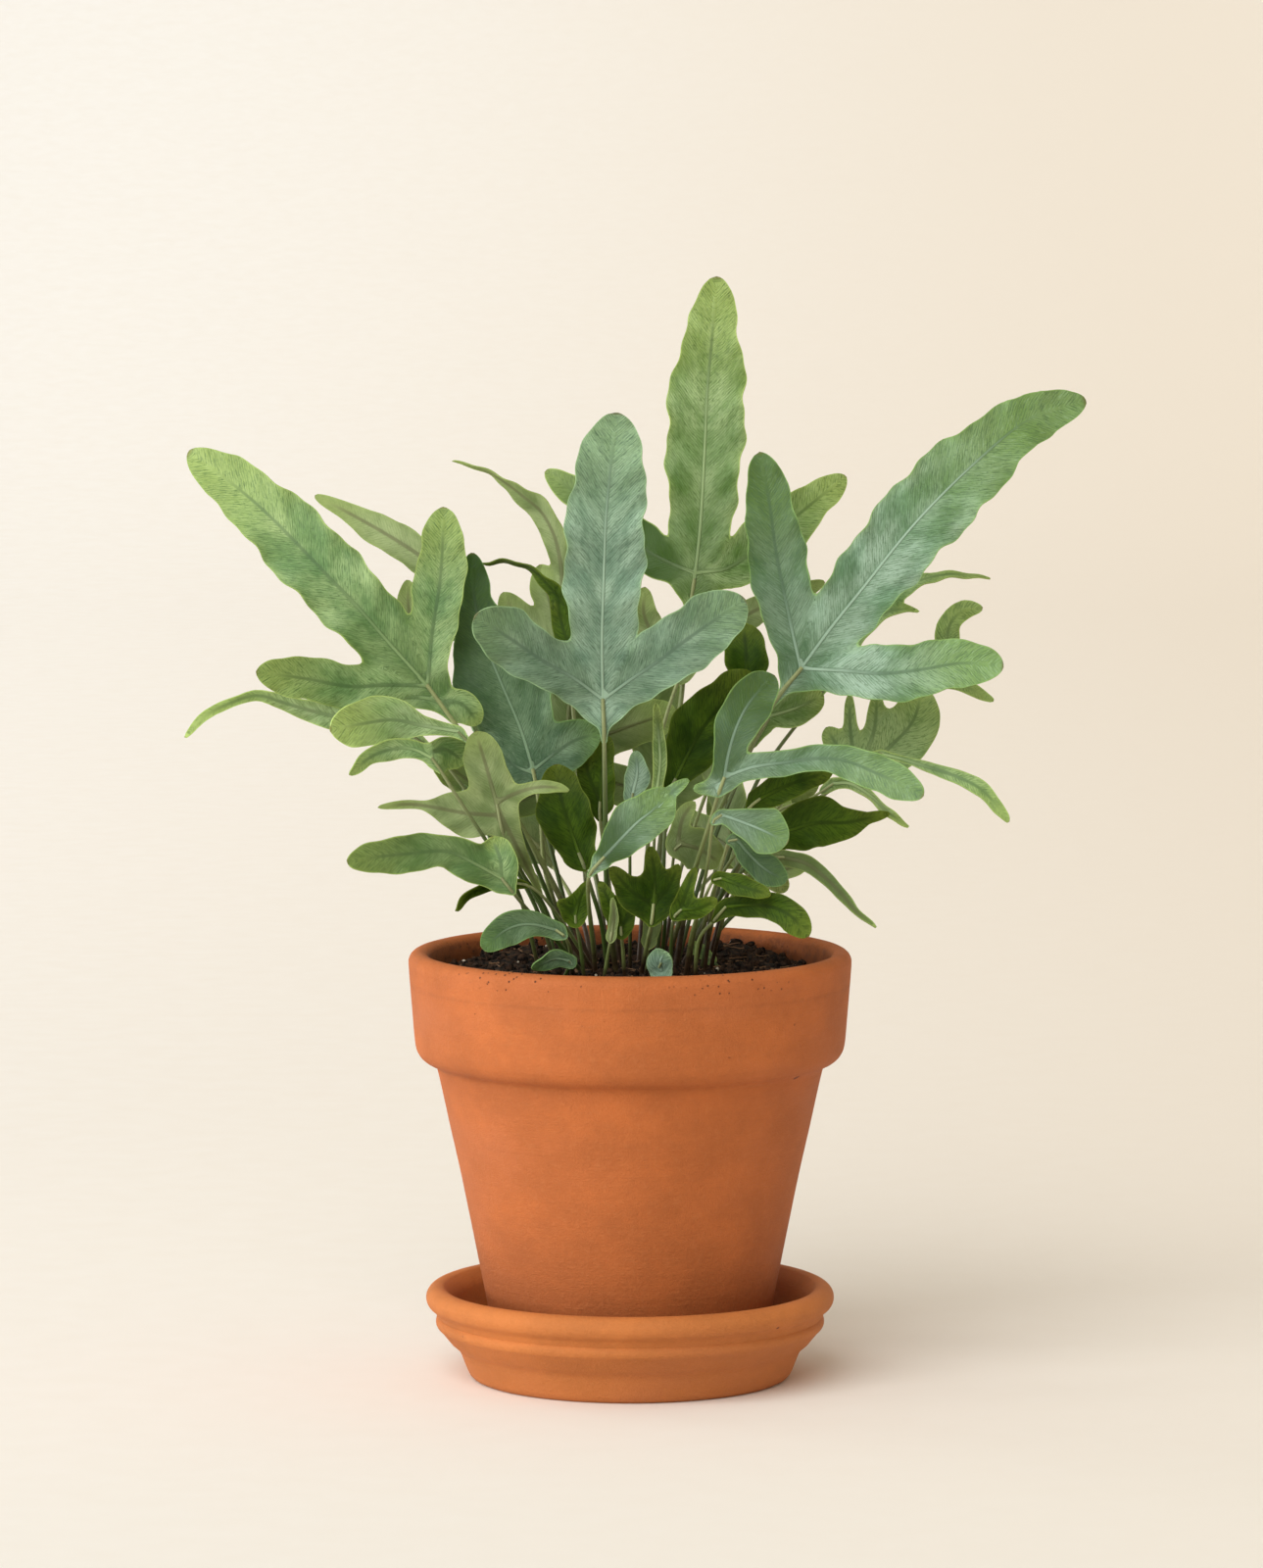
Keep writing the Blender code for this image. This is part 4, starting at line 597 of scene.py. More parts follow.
def half_width(lobe, along):
    """The lobe's half width along its midrib, closed by a round tip."""
    count = len(lobe.widths)
    start = (count - 1) / count
    body = spread(lobe.widths, np.clip(along / start, 0, 1))
    cap = np.clip((along - start) / (1 - start), 0, 1)
    return body * np.sqrt(1 - cap ** TIP_ROUNDNESS) * (1 - TIP_TAPER * cap)


def scallop(guide, place):
    """How much the margin's waves and finer ripples widen a lobe, away from its root and tip."""
    calm = np.clip(ROOT_CALM * place.along, 0, 1) * np.clip(TIP_CALM * (1 - place.along), 0, 1)
    phase = guide.phase + SIDE_LAG * (place.across > 0)
    turned_by = math.tau * place.along * guide.length
    wave = np.sin(turned_by / WAVE_LENGTH + phase)
    ripple = np.sin(turned_by / RIPPLE_LENGTH + RIPPLE_LAG * phase)
    return 1 + calm * (SCALLOP * wave + RIPPLE * ripple)


def rachis_lobe(frond):
    """The narrow wedge of blade between the stipe and where the lowest lobes spread."""
    fork = min(WEDGE_FORK, WEDGE_SHARE * max(lobe.widths[0] for lobe in frond.lobes))
    return Lobe(frond.rachis, (*WEDGE_WIDTHS, fork))


def frond_lobes(frond):
    """Every lobe of a frond with its guide, the wedge at the blade's base first. No two run in step."""
    lobes = [rachis_lobe(frond)] + list(frond.lobes)
    return [(lobe, lobe_guide(lobe, LOBE_PHASE * k + FROND_PHASE * len(frond.name)))
            for k, lobe in enumerate(lobes)]


def field(points, lobes):
    """Below zero inside the blade, above zero outside, with the lobes run together where they meet."""
    each = []
    for lobe, guide in lobes:
        place = beside(points, guide)
        each.append(place.distance - half_width(lobe, place.along) * scallop(guide, place))
    each = np.array(each)
    low = each.min(0)
    return low - SINUS_ROUNDING * np.log(np.exp((low - each) / SINUS_ROUNDING).sum(0)), each


def outline(lobes):
    """The blade's margin: the closed line where the field is zero, walked square by square over a grid."""
    reach = np.vstack([guide.line for _, guide in lobes])
    margin = max(max(lobe.widths) for lobe, _ in lobes) + OUTLINE_ROOM
    low, high = reach.min(0) - margin, reach.max(0) + margin
    xs, ys = np.arange(low[0], high[0], FIELD_STEP), np.arange(low[1], high[1], FIELD_STEP)
    grid = np.stack(np.meshgrid(xs, ys, indexing="ij"), -1)
    values = field(grid.reshape(-1, 2), lobes)[0].reshape(len(xs), len(ys))
    inside = values < 0
    corners = inside[:-1, :-1].astype(int) + inside[1:, :-1] + inside[1:, 1:] + inside[:-1, 1:]
    follow = {}
    for i, j in zip(*np.nonzero((corners > 0) & (corners < 4))):
        ring = [(i, j), (i + 1, j), (i + 1, j + 1), (i, j + 1)]
        leaves, enters = [], []
        for a, b in zip(ring, ring[1:] + ring[:1]):
            if inside[a] != inside[b]:
                (leaves if inside[a] else enters).append((min(a, b), max(a, b)))
        follow.update(zip(leaves, enters))
    return longest_loop(follow, values, grid)


def longest_loop(follow, values, grid):
    """The longest closed walk through the crossed edges, each point set where the field is zero."""
    best = []
    left = set(follow)
    while left:
        edge = min(left)
        loop = []
        while edge in left:
            left.discard(edge)
            loop.append(edge)
            edge = follow[edge]
        best = max(best, loop, key=len)
    a, b = (np.array([edge[k] for edge in best]) for k in (0, 1))
    va, vb = values[a[:, 0], a[:, 1]], values[b[:, 0], b[:, 1]]
    pa, pb = grid[a[:, 0], a[:, 1]], grid[b[:, 0], b[:, 1]]
    return pa + (pb - pa) * (va / (va - vb))[:, None]


def evenly(loop, spacing):
    """A closed line divided into even steps."""
    closed = np.vstack([loop, loop[:1]])
    along = travelled(closed)
    return sampled(closed, along, np.linspace(0, along[-1], int(along[-1] / spacing), endpoint=False))


def filling(loop, lobes):
    """A triangular grid of points inside the blade, clear of its margin and of its midribs."""
    low, high = loop.min(0), loop.max(0)
    half = SURFACE_SPACING / 2
    rows = np.arange(low[1] + half, high[1], SURFACE_SPACING * ROW_STEP)
    columns = np.arange(low[0], high[0], SURFACE_SPACING)
    points = np.array([(x + (k % 2) * half, y) for k, y in enumerate(rows) for x in columns])
    clear = field(points, lobes)[0] < -half
    for _, guide in lobes:
        clear &= beside(points, guide).distance > half
    return points[clear]


def folds(place, guide, half):
    """How far back the keel and the margin's waves take points that lie beside a midrib."""
    away = np.abs(place.across)
    turns = math.tau * place.along * guide.length / WAVE_LENGTH
    wave = WAVE_HEIGHT * half * np.clip(away / half, 0, WAVE_REACH) ** 2
    wave = wave * np.sin(turns + guide.phase + WAVE_LAG * (place.across > 0))
    keel = KEEL * away * np.clip(place.along * KEEL_ONSET, LEAST_KEEL, 1)
    return wave * np.clip(place.along * WAVE_ONSET, 0, 1) - keel


def pucker(place, guide, half):
    """How far back the small swellings between the side veins take points that lie beside a midrib."""
    away = np.abs(place.across)
    turns = math.tau * (place.along * guide.length - VEIN_SLOPE * away) / PUCKER_LENGTH
    return PUCKER_HEIGHT * np.clip(away / half, 0, 1) * np.sin(turns + 2 * guide.phase)


def shares(fields, blending):
    """How much each lobe counts at each point, changing from one to the next over some millimetres."""
    weights = np.exp((fields.min(0) - fields) / blending)
    return weights / weights.sum(0)


def bent(points, lobes, frond):
    """The blade's flat points carried to where each lobe's bow, turn, keel and waves take them."""
    flat = np.zeros_like(points)
    depth = np.zeros(len(points))
    for weight, (lobe, guide) in zip(shares(field(points, lobes)[1], BEND_BLENDING), lobes):
        place = beside(points, guide)
        half = np.maximum(half_width(lobe, place.along), LEAST_HALF * max(lobe.widths))
        turn = np.radians(spread(lobe.turn, place.along))
        rise = folds(place, guide, half) + pucker(place, guide, half)
        centre = sampled(guide.line, np.linspace(0, 1, len(guide.line)), place.along)
        normal = np.stack([-place.tangent[:, 1], place.tangent[:, 0]], 1)
        aside = place.across * np.cos(turn) - rise * np.sin(turn)
        flat += weight[:, None] * (centre + place.past[:, None] * place.tangent + aside[:, None] * normal)
        depth += weight * (frond.depth + spread(lobe.bow, place.along) + place.across * np.sin(turn)
                           + rise * np.cos(turn))
    return placed(frond, flat[:, 0], flat[:, 1], depth)


def layers_at(points, lobes, chance):
    """The UV pairs of the blade's flat points: along and away from the midrib, to the rib and the margin, how
    far grown and the frond's own number, the shade and how much of it is side lobe."""
    total, fields = field(points, lobes)
    along, away, grown, shade, side = np.zeros((5, len(points)))
    rib = np.full(len(points), FAR)
    for number, (weight, (lobe, guide)) in enumerate(zip(shares(fields, VEIN_BLENDING), lobes)):
        place = beside(points, guide)
        start = -guide.length if number == 0 else 0.0
        along += weight * (start + place.along * guide.length + place.past)
        away += weight * np.abs(place.across)
        grown += weight * (place.along if number else 0.0)
        shade += weight * spread(lobe.shade, place.along)
        side += weight * (number > 1)
        beyond = RIB_FADE * np.clip(place.along - RIB_END, 0, 1) * guide.length
        rib = np.minimum(rib, place.distance + beyond)
    pairs = ((along, away), (rib, -total), (grown, np.full(len(points), chance)), (shade, side))
    return [np.column_stack(pair) for pair in pairs]


class Wire:
    """A socket of a shader, on which sums, products and quotients are written as Python expressions."""

    def __init__(self, shader, socket):
        self.shader = shader
        self.socket = socket

    def math(self, operation, *values):
        """Add a Math node and hand back its result."""
        return self.shader.node("ShaderNodeMath", {"operation": operation}, dict(enumerate(values)), "Value")

    def __add__(self, other):
        return self.math("ADD", self, other)

    def __sub__(self, other):
        return self.math("SUBTRACT", self, other)

    def __rsub__(self, other):
        return self.math("SUBTRACT", other, self)

    def __mul__(self, other):
        return self.math("MULTIPLY", self, other)

    def __truediv__(self, other):
        return self.math("DIVIDE", self, other)

    def __rtruediv__(self, other):
        return self.math("DIVIDE", other, self)

    __radd__ = __add__
    __rmul__ = __mul__

    def __neg__(self):
        return self.math("MULTIPLY", self, -1.0)

    def sine(self):
        """The sine of the value."""
        return self.math("SINE", self)

    def step(self, low, high):
        """A smooth step from 0 at low to 1 at high; with low above high it falls from 1 to 0."""
        settings = {"interpolation_type": "SMOOTHSTEP"}
        inputs = {"Value": self, "From Min": min(low, high), "From Max": max(low, high)}
        rising = self.shader.node("ShaderNodeMapRange", settings, inputs, "Result")
        return rising if low < high else 1 - rising


class Shader:
    """A material whose nodes are added by expressions."""

    def __init__(self, name):
        self.material = bpy.data.materials.new(name)
        self.material.use_nodes = True
        self.tree = self.material.node_tree
        self.tree.nodes.clear()

    def node(self, kind, settings, inputs, output):
        """Add a node: first its settings, then the values or links of its sockets. Hand back an output."""
        made = self.tree.nodes.new(kind)
        for name, value in settings.items():
            setattr(made, name, value)
        for key, value in inputs.items():
            named = [socket for socket in made.inputs if socket.name == key and socket.enabled]
            socket = named[0] if named else made.inputs[key]
            if isinstance(value, Wire):
                self.tree.links.new(value.socket, socket)
            else:
                socket.default_value = value
        found = [socket for socket in made.outputs if socket.name == output and socket.enabled]
        return Wire(self, found[0]) if found else made

    def vector(self, x, y, z=0.0):
        """Three numbers as a vector."""
        return self.node("ShaderNodeCombineXYZ", {}, {"X": x, "Y": y, "Z": z}, "Vector")

    def axis(self, vector, name):
        """One part of a vector."""
        return self.node("ShaderNodeSeparateXYZ", {}, {"Vector": vector}, name)

    def pair(self, layer):
        """The two numbers that a UV layer holds."""
        place = self.node("ShaderNodeUVMap", {"uv_map": layer}, {}, "UV")
        return self.axis(place, "X"), self.axis(place, "Y")

    def spot(self):
        """The place of a point of the object, in metres."""
        return self.node("ShaderNodeTexCoord", {}, {}, "Object")

    def scaled(self, vector, factors):
        """A vector stretched along its axes."""
        return self.node("ShaderNodeVectorMath", {"operation": "MULTIPLY"}, {0: vector, 1: factors}, "Vector")

    def reach(self, vector):
        """How far a place is from the pot's axis."""
        flat = self.scaled(vector, (1.0, 1.0, 0.0))
        return self.node("ShaderNodeVectorMath", {"operation": "LENGTH"}, {0: flat}, "Value")

    def noise(self, vector, scale=1.0, detail=2.0, roughness=0.5):
        """Soft noise from 0 to 1."""
        inputs = {"Vector": vector, "Scale": scale, "Detail": detail, "Roughness": roughness}
        return self.node("ShaderNodeTexNoise", {}, inputs, "Fac")

    def cells(self, vector, scale):
        """How far the nearest of scattered points is, in cells."""
        return self.node("ShaderNodeTexVoronoi", {}, {"Vector": vector, "Scale": scale}, "Distance")

    def mix(self, share, first, second):
        """One colour going over into another."""
        inputs = {"Factor": share, "A": first, "B": second}
        return self.node("ShaderNodeMix", {"data_type": "RGBA"}, inputs, "Result")

    def coated(self, colour, *coats):
        """A colour under coats of others, each given with its share."""
        for share, coat in coats:
            colour = self.mix(share, colour, coat)
        return colour

    def bump(self, height, distance, strength=1.0):
        """The normal that a height in units of a distance gives."""
        inputs = {"Height": height, "Distance": distance, "Strength": strength}
        return self.node("ShaderNodeBump", {}, inputs, "Normal")

    def principled(self, inputs):
        """The surface that every finish here starts from."""
        return self.node("ShaderNodeBsdfPrincipled", {}, inputs, "BSDF")

    def finish(self, surface):
        """Connect the surface and hand back the material."""
        self.node("ShaderNodeOutputMaterial", {}, {"Surface": surface}, "")
        return self.material


def linear(red, green, blue):
    """A colour given as a screen shows it, from 0 to 255, in the linear values that a material takes."""
    def channel(value):
        share = value / 255
        return share / 12.92 if share <= 0.04045 else ((share + 0.055) / 1.055) ** 2.4
    return (channel(red), channel(green), channel(blue), 1.0)


def dimmed(colour, factor):
    """A colour made darker, or lighter with a factor above 1."""
    return tuple(min(1.0, factor * part) for part in colour[:3]) + (1.0,)


# The hues of the blades, as a screen shows them: where they are deep, where they are light, at the tip, and
# the light that comes through them. The last numbers are how far up the lobe its midrib stays pale, where the
# tip's hue begins and how much the blade shines. The dark hue is partly painted shade, for blades low in the
# crown.
HUES = {
    "blue": ((102, 138, 114), (170, 200, 174), (154, 188, 136), (124, 160, 84), 0.75, 0.5, 0.5),
    "sea": ((104, 146, 108), (180, 210, 186), (138, 174, 92), (124, 160, 78), 0.75, 0.32, 0.5),
    "teal": ((84, 118, 86), (146, 176, 140), (122, 160, 88), (112, 150, 60), 0.75, 0.5, 0.35),
    "green": ((100, 142, 84), (174, 202, 138), (166, 188, 102), (136, 172, 62), 0.3, 0.45, 0.4),
    "pale": ((138, 180, 116), (208, 232, 178), (200, 222, 132), (170, 200, 96), 0.3, 0.4, 0.4),
    "lime": ((98, 134, 64), (170, 194, 136), (176, 196, 108), (146, 182, 70), 0.65, 0.5, 0.4),
    "olive": ((90, 112, 54), (146, 166, 100), (148, 166, 92), (140, 164, 70), 0.3, 0.5, 0.3),
    # partly painted shade: this hue darkens the blades low in the crown beyond their own deep green
    "dark": ((38, 64, 6), (84, 112, 26), (104, 120, 40), (104, 140, 16), 0.3, 0.5, 0.12),
}
SLOTS = {"sea": "blue", "teal": "blue", "pale": "green"}

# The other tones, as a screen shows them
TONES = {
    "underside deep": (114, 134, 80),
    "underside light": (164, 180, 124),
    "underside rib": (92, 84, 58),
    "blade in shade": (54, 88, 8),
    "dry tip": (104, 72, 40),
    "stipe green": (64, 84, 34),
    "stipe pale green": (122, 134, 78),
    "stipe top": (158, 162, 116),
    # partly the stipe's own dark base and partly painted shade near the soil
    "stipe black and shade": (26, 18, 11),
    "stipe brown": (76, 54, 34),
    "stipe scales": (64, 58, 36),
    "pot clay": (180, 98, 46),
    "saucer clay": (211, 126, 62),
    "clay smear": (150, 90, 66),
    "clay speck": (216, 138, 84),
    "clay pit": (92, 44, 26),
    "rim pit": (56, 26, 16),
    "chipped clay": (84, 40, 24),
    "damp clay": (52, 32, 22),
    "soil": (46, 30, 19),
    # pale specks of peat that also serve as painted highlights on the soil
    "peat and painted highlights": (122, 88, 62),
    "perlite": (214, 204, 188),
    "perlite dark": (150, 134, 116),
    "fibre": (150, 112, 78),
    "fibre dark": (66, 44, 30),
    "paper": (246, 243, 241),
    # painted light on the floor in front
    "paper with painted light": (248, 248, 246),
}


def tone(name):
    """A named tone in the linear values that a material takes."""
    return linear(*TONES[name])


def leaf_material(hue, underside, settings):
    """A leathery blade: mottled green, fine dark veins on a slant, a pale midrib and a thin pale margin."""
    deep, light, tip, through = (linear(*colour) for colour in HUES[hue][:4])
    pale_end, tip_start, sheen = HUES[hue][4:]
    if underside:
        deep, light = tone("underside deep"), tone("underside light")
    shader = Shader("fern leaf %s %s" % (hue, "under" if underside else "upper"))
    along, away = shader.pair("vein")
    rib, inside = shader.pair("edge")
    share, chance = shader.pair("grow")
    shade, side = shader.pair("tone")

    def mottle(way, lengthwise, across, number, **look):
        return shader.noise(shader.vector(way * lengthwise, away * across, chance * number), **look)

    run = along - away * VEIN_SLOPE - away * away * VEIN_CURL + mottle(along, 0.11, 0.12, 43) * 2.4
    wobble = mottle(run, 0.5, 0.2, 31) * 3.0
    line = (run * (math.tau / VEIN_SPACING) + wobble).sine().step(0.3, 1.0)
    fine = mottle(run, 2.1, 0.6, 91, roughness=0.6)
    coarse = mottle(run, 0.9, 0.3, 57)
    broad = mottle(run, 0.22, 0.06, 17).step(0.42, 0.68)
    fleck = mottle(along, 0.8, 0.8, 71, detail=3.0, roughness=0.7)
    patch = shader.noise(shader.vector(along * 0.06 - away * 0.04, away * 0.08, chance * 29), detail=4.0,
                         roughness=0.6)
    veins = line * coarse.step(0.34, 0.6) * 0.5 + fine.step(0.5, 0.62) * 0.6 + coarse.step(0.54, 0.7) * 0.12
    # partly painted shade: the dark flank beside a midrib is its own dark line and also the raised rib's
    # shadow painted on the blade
    flank = (rib + share * 0.3).step(1.1, 0.45) * share.step(0.96, 0.75)
    core = (rib + share * 0.25).step(0.65, 0.35) * (share + side * 0.45).step(pale_end + 0.15, pale_end - 0.3)
    core = core * (1 - shade * 0.7)
    depth = settings.vein_depth * (UNDERSIDE_VEINS if underside else 1.0)
    colour = shader.coated(
        deep,
        (patch.step(0.32, 0.66), light),
        (broad * 0.12, dimmed(light, 1.15)),
        (share.step(tip_start, tip_start + 0.5) * 0.85, tip),
        (inside.step(3.0, 0.4) * 0.25, tip),
        (shade, tone("blade in shade")),
        (fine.step(0.46, 0.32) * (0.32 - shade * 0.26) * depth, dimmed(light, 1.2)),
        (veins * depth * rib.step(0.3, 0.9), dimmed(deep, 0.5)),
        (fleck.step(0.59, 0.66) * 0.6 * depth, dimmed(deep, 0.5)),
        # the dark flank: partly painted shade along the midrib
        (flank * 0.6, tone("underside rib") if underside else dimmed(deep, 0.45)),
        (core * (0.3 if underside else 0.8), dimmed(light, 1.15)),
        (inside.step(0.45, 0.15) * 0.65, dimmed(tip, 1.3)),
        (share.step(0.986, 1.0) * 0.7, tone("dry tip")))
    height = (line * 0.3 + fine * 0.7 + coarse * 0.3) * -rib.step(0.2, 0.9) + flank * -0.5 + core * 1.2
    surface = shader.principled({
        "Base Color": colour, "Roughness": 0.6 if underside else 0.47, "Specular IOR Level": sheen,
        "Normal": shader.bump(height, 0.00035, 0.6)})
    glow = shader.node("ShaderNodeBsdfTranslucent", {}, {"Color": through}, "BSDF")
    both = {0: settings.glow, 1: surface, 2: glow}
    return shader.finish(shader.node("ShaderNodeMixShader", {}, both, "Shader"))


def stipe_material():
    """A wiry stipe: green above, and purple-brown to black near the soil on most fronds, partly its own
    colour and partly painted shade under the crown.
    """
    shader = Shader("fern stipe")
    along, away = shader.pair("vein")
    share, chance = shader.pair("grow")
    grain = shader.noise(shader.vector(along * 0.5, away * 3.0, chance * 60), detail=3.0)
    brown = shader.mix(grain, tone("stipe black and shade"), tone("stipe brown"))
    colour = shader.coated(
        tone("stipe green"),
        (chance.step(0.2, 0.8), tone("stipe pale green")),
        (share.step(0.5, 0.95) * 0.5, tone("stipe top")),
        # partly painted shade: the stipes darken towards the soil under the crown, beyond their own brown
        ((share * 1.6 + grain * 0.3 - chance * 0.5).step(0.5, 0.0), brown),
        (grain.step(0.5, 0.8) * 0.35, tone("stipe scales")))
    surface = shader.principled({"Base Color": colour, "Roughness": 0.42, "Specular IOR Level": 0.4,
                                 "Normal": shader.bump(grain, 0.0002, 0.5)})
    return shader.finish(surface)


def clay_material(name, colour, chips, settings):
    """Unglazed turned clay: orange with soft cloudy patches, turning lines, grain, a few pits and some chips,
    given by place and size in metres. The inside of a pot that holds damp soil is stained."""
    shader = Shader(name)
    spot = shader.spot()
    height = shader.axis(spot, "Z") * 1000
    reach = shader.reach(spot) * 1000
    cloud = shader.noise(shader.scaled(spot, (30.0, 30.0, 42.0)), detail=5.0, roughness=0.65)
    smear = shader.noise(shader.scaled(spot, (9.0, 9.0, 24.0)), detail=3.0)
    grain = shader.noise(spot, 1500.0, detail=3.0, roughness=0.7)
    speck = shader.noise(spot, 520.0, detail=2.0, roughness=0.6)
    turning = shader.noise(shader.scaled(spot, (14.0, 14.0, 900.0)), detail=4.0, roughness=0.65)
    wander = shader.noise(spot, 260.0, detail=3.0, roughness=0.7)
    pits = shader.cells(spot, 190.0).step(0.11, 0.05) * wander.step(0.61, 0.67)
    rim_pits = shader.cells(spot, 430.0).step(0.2, 0.1) * height.step(*RIM_PIT_HEIGHTS)
    rim_pits = rim_pits * smear.step(0.5, 0.56)
    stain = reach.step(*STAIN_RADII) * height.step(*STAIN_HEIGHTS)
    lip = height.step(LIP_LINE_Z + 0.9, LIP_LINE_Z) * height.step(LIP_LINE_Z - 1.6, LIP_LINE_Z - 0.2)
    clay = tuple(colour)
    coats = [
        (cloud.step(0.3, 0.72), dimmed(clay, 1.1)),
        (smear.step(0.46, 0.7) * cloud.step(0.35, 0.6) * 0.3, tone("clay smear")),
        (height.step(*FOOT_HEIGHTS) * 0.28, dimmed(clay, 0.15)),
        (turning.step(0.5, 0.75) * 0.1, dimmed(clay, 0.6)),
        (wander.step(0.5, 0.75) * 0.26, dimmed(clay, 0.7)),
        (speck.step(0.5, 0.76) * 0.1, tone("clay speck")),
        (grain.step(0.55, 0.75) * 0.22, dimmed(clay, 0.55)),
        (stain * (0.4 + height.step(*STAIN_TOP_HEIGHTS) * 0.4), dimmed(clay, 0.3)),
        (stain * wander.step(0.5, 0.62) * 0.3, tone("damp clay")),
        (pits * 0.5, tone("clay pit")),
        (rim_pits * 0.85, tone("rim pit")),
        (lip * wander.step(0.3, 0.6) * 0.2, dimmed(clay, 0.5)),
    ]
    for place, size in chips:
        gap = shader.node("ShaderNodeVectorMath", {"operation": "DISTANCE"}, {0: spot, 1: place}, "Value")
        coats.append(((gap / size + wander * 1.4).step(1.75, 1.45) * 0.85, tone("chipped clay")))
    relief = grain * 1.1 + speck * 0.7 + turning * settings.turning + wander * 0.3 + (pits + rim_pits) * -1.4
    surface = shader.principled({
        "Base Color": shader.coated(dimmed(clay, 0.86), *coats), "Roughness": 0.8 - smear * 0.12,
        "Specular IOR Level": 0.35, "Normal": shader.bump(relief, 0.0003, 0.9)})
    return shader.finish(surface)


def soil_material(settings):
    """Moist dark potting mix, each crumb a little lighter or browner than the next; the near-black between
    the crumbs is partly painted shade, and the pale specks are partly peat and partly painted highlights.
    """
    shader = Shader("fern potting soil")
    spot = shader.spot()
    crumb = shader.noise(spot, 520.0, detail=1.5)
    fine = shader.noise(spot, 1300.0, detail=4.0, roughness=0.7)
    dark = tuple(settings.soil)
    # partly painted shade: the near-black between the lighter crumbs; partly painted highlights: the pale
    # specks
    colour = shader.coated(dimmed(dark, 0.12), (crumb.step(0.38, 0.66), dimmed(dark, 1.7)),
                           (fine.step(0.55, 0.76) * 0.5, tone("peat and painted highlights")))
    surface = shader.principled({"Base Color": colour, "Roughness": 0.93, "Specular IOR Level": 0.25,
                                 "Normal": shader.bump(fine, 0.0006, 0.9)})
    return shader.finish(surface)


def bit_material(name):
    """A bit in the soil, such as perlite or a fibre of root or bark."""
    shader = Shader("fern " + name)
    grain = shader.noise(shader.spot(), 900.0, detail=3.0)
    colour = shader.mix(grain, tone(name + " dark"), tone(name))
    surface = shader.principled({"Base Color": colour, "Roughness": 0.85,
                                 "Normal": shader.bump(grain, 0.0003, 0.6)})
    return shader.finish(surface)


def linked(name, data):
    """A new object in the scene, of a mesh, a light or a camera."""
    obj = bpy.data.objects.new(name, data)
    bpy.context.scene.collection.objects.link(obj)
    return obj


def add_piece(name, parts, materials):
    """Join parts, each with its points in millimetres, faces, material and UV pairs, into one piece."""
    points, faces, slots = [], [], []
    layers = {"vein": [], "edge": [], "grow": [], "tone": []}
    for part in parts:
        base = sum(len(group) for group in points)
        points.append(part.points)
        faces += [[base + k for k in face] for face in part.faces]
        slots += list(part.slot) if np.ndim(part.slot) else [part.slot] * len(part.faces)
        for layer, values in layers.items():
            values.append(getattr(part, layer))
    mesh = bpy.data.meshes.new(name)
    mesh.from_pydata((np.vstack(points) * MM).tolist(), [], faces)
    corners = np.zeros(len(mesh.loops), int)
    mesh.loops.foreach_get("vertex_index", corners)
    for layer, values in layers.items():
        pairs = np.vstack(values)[corners].astype(np.float32)
        mesh.uv_layers.new(name=layer).data.foreach_set("uv", pairs.ravel())
    mesh.polygons.foreach_set("material_index", slots)
    for material in materials:
        mesh.materials.append(material)
    mesh.shade_smooth()
    mesh.set_sharp_from_angle(angle=math.radians(LEAF_CREASE))
    return linked(name, mesh)


def settle(obj, node, slot):
    """A finished piece takes the place of its node and rides with the pot."""
    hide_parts(node)
    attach(obj, "root")


def turned_piece(name, profile, steps):
    """A profile of radii and heights turned about the pot's axis, run down its outer side first. One that
    starts off the axis is closed."""
    mesh = bpy.data.meshes.new(name)
    edges = [(k, k + 1) for k in range(len(profile) - 1)]
    if profile[0][0] > 0:
        edges.append((len(profile) - 1, 0))
    mesh.from_pydata([(r * MM, 0, z * MM) for r, z in profile], edges, [])
    obj = linked(name, mesh)
    screw = obj.modifiers.new("Turn", "SCREW")
    screw.steps = screw.render_steps = steps
    screw.use_merge_vertices = True
    screw.merge_threshold = MERGE_DISTANCE
    graph = bpy.context.evaluated_depsgraph_get()
    turned_mesh = bpy.data.meshes.new_from_object(obj.evaluated_get(graph))
    obj.modifiers.clear()
    obj.data = turned_mesh
    edit = bmesh.new()
    edit.from_mesh(obj.data)
    bmesh.ops.remove_doubles(edit, verts=edit.verts, dist=MERGE_DISTANCE)
    bmesh.ops.dissolve_degenerate(edit, edges=edit.edges, dist=MERGE_DISTANCE)
    bmesh.ops.recalc_face_normals(edit, faces=edit.faces)
    edit.to_mesh(obj.data)
    edit.free()
    obj.data.shade_smooth()
    obj.data.set_sharp_from_angle(angle=math.radians(CLAY_CREASE))
    return obj


def arc(centre, radius, start, end, steps):
    """Points on an arc in a profile, by angles in degrees."""
    angles = [math.radians(start + (end - start) * k / steps) for k in range(steps + 1)]
    return [(centre[0] + radius * math.cos(a), centre[1] + radius * math.sin(a)) for a in angles]


def flowing(points, spacing):
    """A smooth run of a profile through its points, divided evenly."""
    length = np.linalg.norm(np.diff(np.array(points), axis=0), axis=1).sum()
    return [tuple(row) for row in smooth_line(points, max(3, int(length / spacing) + 1))]


def saucer_profile():
    """The saucer: a rolled rim and a second ring outside, a smooth dish inside."""
    bead = arc((SAUCER_RIM_RADIUS - BEAD_RADIUS, SAUCER_TOP_Z - BEAD_RADIUS), BEAD_RADIUS, 120, -45, 14)
    ring = arc((65.4, 19.6), RING_RADIUS, 40, -60, 9)
    foot = flowing([(63.2, 12.6), (60.2, 9.8), (58.0, 4.7), (56.4, 1.2), (SAUCER_FOOT_RADIUS, 0)], 1.2)
    inside = flowing([(52.5, SAUCER_FLOOR_Z), (57.5, 10.4), (60.6, 19.0), (62.6, 27.2)], 1.5)
    return bead + flowing([bead[-1], (68.9, 23.8), ring[0]], 0.9)[1:-1] + ring + foot + [
        (30.0, 0), (0, 0), (0, SAUCER_FLOOR_Z), (30.0, SAUCER_FLOOR_Z)] + inside


